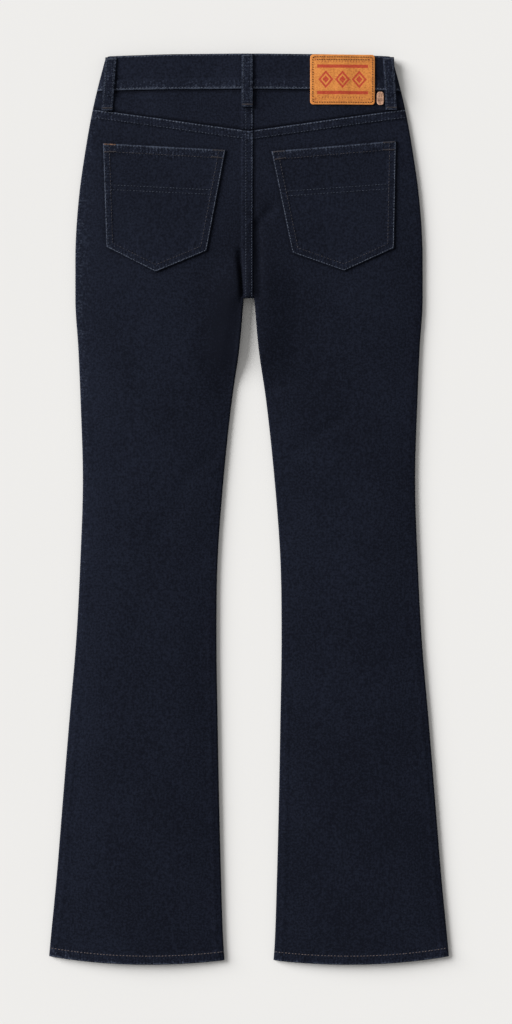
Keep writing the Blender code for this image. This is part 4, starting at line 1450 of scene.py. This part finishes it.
def stitch_mesh(name, stitches, finish):
    """One mesh of all stitches, each (start, end, normal, radius): a bent tube that dives at its ends."""
    starts, ends, normals, radii = (np.array([stitch[k] for stitch in stitches], float) for k in range(4))
    radii = radii[:, None]
    middles, runs = (starts + ends) / 2, ends - starts
    lengths = np.linalg.norm(runs, axis=1, keepdims=True)
    along = runs / lengths
    up = normals - along * (normals * along).sum(1, keepdims=True)
    up /= np.linalg.norm(up, axis=1, keepdims=True)
    across = np.cross(along, up)
    rings = []
    for share, height, width in STITCH_RINGS:
        centre = middles + along * lengths * share / 2 + up * radii * height
        for angle in np.linspace(0.0, 2 * math.pi, STITCH_SIDES, endpoint=False):
            rings.append(centre + (across * math.cos(angle) + up * math.sin(angle)) * radii * width)
    points = np.stack(rings, axis=1).reshape(-1, 3)

    levels, each = len(STITCH_RINGS), len(rings)
    caps = [tuple(range(STITCH_SIDES))[::-1], tuple(range(each - STITCH_SIDES, each))]
    faces = ring_faces(levels, STITCH_SIDES) + caps
    all_faces = [tuple(first + k for k in face) for first in range(0, len(points), each) for face in faces]
    spots = [
        ((level + further) / levels, (k + beside) / STITCH_SIDES)
        for level in range(levels - 1)
        for k in range(STITCH_SIDES)
        for further, beside in ((0, 0), (0, 1), (1, 1), (1, 0))
    ]
    spots += [(0.0, 0.0)] * (2 * STITCH_SIDES)
    piece = add_mesh(name, points, all_faces, [finish])
    layer = piece.data.uv_layers.new(name="UVMap")
    layer.data.foreach_set("uv", np.tile(np.array(spots), (len(stitches), 1)).ravel())
    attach(piece, "root")


def stitch(surface, start, end, middle, radius, swing=0.0):
    """One stitch between two places, as a list that is empty past the surface's edges."""
    found = [surface.at(*place) for place in (start, end, middle)]
    if None in found:
        return []
    (start, _), (end, _), (_, normal) = found
    shift = Vector((swing * MM, 0.0, 0.0))
    return [(start - shift, end + shift, normal, radius * MM)]


def sew(name, lines, surface, finish, pitch=STITCH_PITCH, length=STITCH_LENGTH, thickness=THREAD):
    """Lays running stitches along lines of places, each a bit uneven."""
    random = np.random.default_rng(len(name) + len(lines))
    stitches = []
    for line in lines:
        line = np.array(line, float)
        run = np.concatenate([[0.0], np.cumsum(np.hypot(*np.diff(line, axis=0).T))])
        for middle in np.arange(pitch / 2, run[-1], pitch):
            middle += random.uniform(-0.12, 0.12) * pitch
            reach = length / 2 * random.uniform(0.88, 1.08)
            swing = random.uniform(-0.10, 0.10)
            places = [
                [np.interp(middle + out, run, values) for values in line.T] for out in (-reach, reach, 0.0)
            ]
            stitches += stitch(surface, *places, thickness / 2, swing)
    stitch_mesh(name, stitches, finish)


def tack(name, tacks, surface, finish):
    """Sews bartacks, each (start, end, width): short stitches side by side, across the run."""
    stitches = []
    for start, end, width in tacks:
        start, run = np.array(start), np.array(end) - np.array(start)
        length = float(np.hypot(*run))
        across = np.array((-run[1], run[0])) / length * width / 2
        for share in np.arange(0.0, length, TACK_PITCH) / length:
            first, second = start + run * share - across, start + run * (share + 0.03) + across
            stitches += stitch(surface, first, second, (first + second) / 2, TACK_RADIUS)
    stitch_mesh(name, stitches, finish)


def along_x(line, start, end, step=2.0):
    """Places along a line given as down at x."""
    x = np.linspace(start, end, max(int(abs(end - start) / step), 2))
    return np.stack([x, line(x)], axis=-1)


def along_down(line, start, end, step=2.0):
    """Places along a line given as x at a height."""
    down = np.linspace(start, end, max(int(abs(end - start) / step), 2))
    return np.stack([line(down) + 0.0 * down, down], axis=-1)


def inset(points, distance, turn):
    """An open line of corners, moved in by a distance from the edges between them."""
    points = [np.array(point, float) for point in points]
    shifted = []
    for start, end in zip(points, points[1:]):
        run = (end - start) / np.hypot(*(end - start))
        shift = np.array((-run[1], run[0])) * distance * turn
        shifted.append((start + shift, run))
    corners = [shifted[0][0]]
    for (start, run), (other, other_run) in zip(shifted, shifted[1:]):
        matrix = np.array((run, -other_run)).T
        share = np.linalg.solve(matrix, other - start)[0]
        corners.append(start + run * share)
    last_start, last_run = shifted[-1]
    corners.append(last_start + last_run * np.hypot(*(points[-1] - points[-2])))
    return np.array(corners)


def toward(first, second, share):
    return np.array(first) + (np.array(second) - np.array(first)) * share


def hem_row(sign):
    start, end = inseam(HEM_ROW_ENDS) + 1.0, side(HEM_ROW_ENDS) - 1.0
    return along_x(lambda x: hem_edge(x) - HEM_ROW, sign * start, sign * end)


def back_sewing():
    blue, dim = FINISH["thread"], FINISH["thread_dim"]
    back = Surface(["back_leg_left", "back_leg_right", "yoke_left", "yoke_right"])
    for sign, name in SIDES:
        for number, row in enumerate(YOKE_ROWS):
            seam = along_x(lambda x: yoke_seam(x) + row, sign * 7.0, sign * (side(YOKE_ROW_ENDS) - 1.0))
            sew("yoke_stitching_%s_%d" % (name, number), [seam], back, (blue, dim)[number])
        sew("hem_stitching_" + name, [hem_row(sign)], back, FINISH["thread_hem"], thickness=0.8)
    for number, row in enumerate(FELLED_ROWS):
        seam = along_down(lambda down: row, WAISTBAND + 2.0, CROTCH - 2.0)
        sew("seat_seam_stitching_%d" % number, [seam], back, dim, pitch=3.3, length=2.3)

    top_reach, foot_reach = side(WAIST_BOW) - 6.0, side(WAISTBAND) - 3.0
    rows = [
        along_x(lambda x: waist_top(x) + WAIST_TOP_ROW, -top_reach, top_reach),
        along_x(lambda x: waist_foot(x) - WAIST_FOOT_ROW, -foot_reach, foot_reach),
    ]
    sew("waistband_stitching", rows, Surface(["waistband_back"]), blue)


def pocket_sewing():
    for pocket in POCKETS:
        name, surface = pocket.side, Surface(["back_pocket_" + pocket.side])

        def across(inner_share, outer_share, margin):
            """A straight row between shares of the pocket's two sides."""
            start = toward(pocket.inner_top, pocket.inner_foot, inner_share)
            end = toward(pocket.outer_top, pocket.outer_foot, outer_share)
            return np.array((toward(start, end, margin), toward(start, end, 1 - margin)))

        outer, inner = (inset(pocket[1:], distance, -outward(pocket)) for distance in POCKET_ROWS)
        shares = [(row / POCKET_INNER_EDGE, row / POCKET_OUTER_EDGE) for row in POCKET_BAND_ROWS]
        upper, lower = (across(*pair, POCKET_MARGIN) for pair in shares)
        pattern = [across(share, share, PATTERN_MARGIN) for share in PATTERN_SHARES]
        for label, rows, finish, settings in (
            ("edge_", [outer], "thread", {"pitch": 3.3, "thickness": 0.56}),
            ("inner_", [inner, lower], "thread_dull", {"thickness": 0.6}),
            ("", [upper, *pattern], "thread_dim", {"thickness": 0.6}),
        ):
            sew("pocket_%sstitching_%s" % (label, name), rows, surface, FINISH[finish], **settings)
        tacks = []
        for top, foot, other in (
            (pocket.inner_top, pocket.inner_foot, pocket.outer_top),
            (pocket.outer_top, pocket.outer_foot, pocket.inner_top),
        ):
            for down_share in POCKET_TACKS:
                start = toward(toward(top, foot, down_share), other, POCKET_MARGIN)
                tacks.append((start, toward(start, other, POCKET_TACK_LENGTH), POCKET_TACK_WIDTH))
        left_outer = [tacks.pop(2)] if name == "left" else []
        tack("pocket_bartacks_" + name, tacks, surface, FINISH["thread_brown"])
        if left_outer:
            tack("pocket_rust_bartack", left_outer, surface, FINISH["thread_rust"])


def loop_sewing():
    for loop in BACK_LOOPS + FRONT_LOOPS:
        surface = Surface([loop.name], from_below=loop in FRONT_LOOPS)
        lean = (loop.foot_x - loop.top_x) / (loop.foot_down - loop.top_down)
        start, end = loop.top_down + 1.0, loop.foot_down - 1.0
        rows = [
            along_down(lambda down: loop.top_x + out + lean * (down - loop.top_down), start, end)
            for out in (LOOP_ROW - LOOP_WIDTH / 2, LOOP_WIDTH / 2 - LOOP_ROW)
        ]
        sew(loop.name + "_stitching", rows, surface, FINISH["thread_dim"], pitch=2.9, length=2.1)
        reach = LOOP_WIDTH / 2 - 1.0
        for place, x, down, finish in (
            ("top", loop.top_x, loop.top_down + 2.4, "thread_dim"),
            ("foot", loop.foot_x, loop.foot_down - 3.4, "thread_brown"),
        ):
            run = ((x - reach, down), (x + reach, down), LOOP_TACK_WIDTH)
            tack(loop.name + "_bartack_" + place, [run], surface, FINISH[finish])


def patch_sewing():
    left, right = PATCH_LEFT + PATCH_ROW, PATCH_RIGHT - PATCH_ROW
    top, foot = PATCH_TOP + PATCH_ROW, PATCH_FOOT - PATCH_ROW
    radius = 1.6
    near_left, near_right, near_top, near_foot = left + radius, right - radius, top + radius, foot - radius
    middles = ((near_right, near_top), (near_right, near_foot), (near_left, near_foot), (near_left, near_top))
    line = [
        (x + radius * math.cos(turn), down + radius * math.sin(turn))
        for quarter, (x, down) in enumerate(middles)
        for turn in np.radians(np.linspace(-90.0, 0.0, 7) + 90.0 * quarter)
    ]
    rows = [line + line[:1], [(left + 4.0, top + 3.1), (right - 4.0, top + 3.1)]]
    surface = Surface(["leather_patch"])
    sew("patch_stitching", rows, surface, FINISH["thread_tan"], pitch=2.9, length=2.1, thickness=0.9)


def front_sewing():
    blue = FINISH["thread"]
    front = Surface(["front_leg_left", "front_leg_right"], from_below=True)
    for sign, name in SIDES:
        start, end = front_top(MOUTH_ROW_FROM) + 2.0, MOUTH_FOOT - 4.0
        rows = [
            along_down(lambda down: sign * (mouth_edge(down, WAISTBAND) - distance), start, end)
            for distance in MOUTH_ROWS
        ]
        sew("mouth_stitching_" + name, rows, front, blue)
        sew("front_hem_stitching_" + name, [hem_row(sign)], front, FINISH["thread_hem"])
        band = Surface(["waistband_front_" + name], from_below=True)
        start, end = WAIST_LAP + sign * 3.0, sign * (side(WAISTBAND) - 6.0)
        rows = [
            along_x(lambda x: front_waist_top(x) + WAIST_TOP_ROW, start, end),
            along_x(lambda x: front_waist_foot(x) - WAIST_FOOT_ROW, start, end),
        ]
        sew("front_band_stitching_" + name, rows, band, blue)
    turn = np.linspace(0.0, math.pi / 2, 12)
    rows = []
    for out in FLY_ROWS:
        straight = along_down(lambda down: -out, front_top(0.0) + 3.0, ZIP_FOOT - out)
        bend = np.stack([-out * np.cos(turn), ZIP_FOOT - out + out * np.sin(turn)], axis=-1)
        rows.append(np.concatenate([straight, bend[1:]]))
    rows.append(along_down(lambda down: -1.8, ZIP_FOOT, CROTCH - 3.0))
    sew("fly_stitching", rows, front, blue)


# ---- the stage -----------------------------------------------------------------------------------

FLOOR_DROP = 0.35
FLOOR_HALF = 40.0
SUN_FROM = (-0.815, 0.380, 0.438)
SUN_STRENGTH = 5.05
SUN_SPREAD = math.radians(38.0)
SKY_STRENGTH = 0.36
SKY_COLOUR = (1.0, 0.995, 0.985, 1.0)


def stage():
    corners = [(2 * a * FLOOR_HALF, 2 * b * FLOOR_HALF, -FLOOR_DROP * MM) for a, b in SQUARE]
    floor = add_mesh("floor", corners, [(0, 1, 2, 3)], [floor_finish()], smooth=False)

    sun = bpy.data.lights.new("sun", "SUN")
    sun.energy = SUN_STRENGTH
    sun.angle = SUN_SPREAD
    add_object("sun", sun).rotation_euler = Vector(SUN_FROM).to_track_quat("Z", "Y").to_euler()

    world = bpy.data.worlds.new("soft_room")
    world.use_nodes = True
    sky = world.node_tree.nodes["Background"]
    sky.inputs["Color"].default_value = SKY_COLOUR
    sky.inputs["Strength"].default_value = SKY_STRENGTH
    bpy.context.scene.world = world
    bpy.context.scene.view_settings.view_transform = "Standard"

    camera = bpy.data.cameras.new("camera")
    camera.lens = camera.sensor_width * CAMERA_HEIGHT / (IMAGE_HEIGHT * MM_PER_PIXEL * MM)
    eye = add_object("camera", camera)
    middle_x = (IMAGE_WIDTH / 2 - MIDDLE_PIXEL) * MM_PER_PIXEL
    middle_down = (IMAGE_HEIGHT / 2 - WAIST_PIXEL) * MM_PER_PIXEL
    eye.location = (middle_x * MM, (LENGTH / 2 - middle_down) * MM, CAMERA_HEIGHT)
    bpy.context.scene.camera = eye


# ---- putting it together -------------------------------------------------------------------------

THREADS = {
    "thread": ((0.046, 0.056, 0.082), (0.120, 0.140, 0.180)),
    "thread_dim": ((0.020, 0.026, 0.042), (0.052, 0.064, 0.092)),
    "thread_hem": ((0.075, 0.062, 0.064), (0.135, 0.108, 0.103)),
    "thread_brown": ((0.024, 0.022, 0.028), (0.044, 0.037, 0.041)),
    "thread_dull": ((0.022, 0.022, 0.030), (0.060, 0.055, 0.062)),
    "thread_rust": ((0.075, 0.043, 0.031), (0.21, 0.105, 0.055)),
    "thread_tan": ((0.055, 0.024, 0.015), (0.13, 0.055, 0.028)),
}
FINISH = {
    "denim": denim("denim", DARK, LIGHT),
    "denim_across": denim("denim_across", DARK, LIGHT, turn=math.pi / 2),
    "inside": denim("denim_inside", (0.06, 0.07, 0.09), (0.20, 0.22, 0.26)),
    "tape": denim("zip_tape", (0.012, 0.014, 0.022), (0.03, 0.034, 0.045)),
    **{name: thread(name, *colours) for name, colours in THREADS.items()},
    "patch_leather": patch_leather(),
    "tab_leather": plain_leather("tab_leather", (0.20, 0.105, 0.068), (0.62, 0.36, 0.235)),
    "metal": brass("button_metal", (0.30, 0.20, 0.13), (0.52, 0.39, 0.28)),
}
PIECES = {}

back_legs()
yokes()
back_waistband()
front_waistbands()
front_legs()
pocket_facings()
back_pockets()
belt_loops()
closed_zip()
waist_button()
leather_piece("leather_patch", PATCH_LEFT, PATCH_RIGHT, PATCH_TOP, PATCH_FOOT, PATCH_CORNER, "patch_leather")
leather_piece("leather_tab", TAB_LEFT, TAB_RIGHT, TAB_TOP, TAB_FOOT, TAB_CORNER, "tab_leather")
back_sewing()
pocket_sewing()
loop_sewing()
patch_sewing()
front_sewing()
stage()
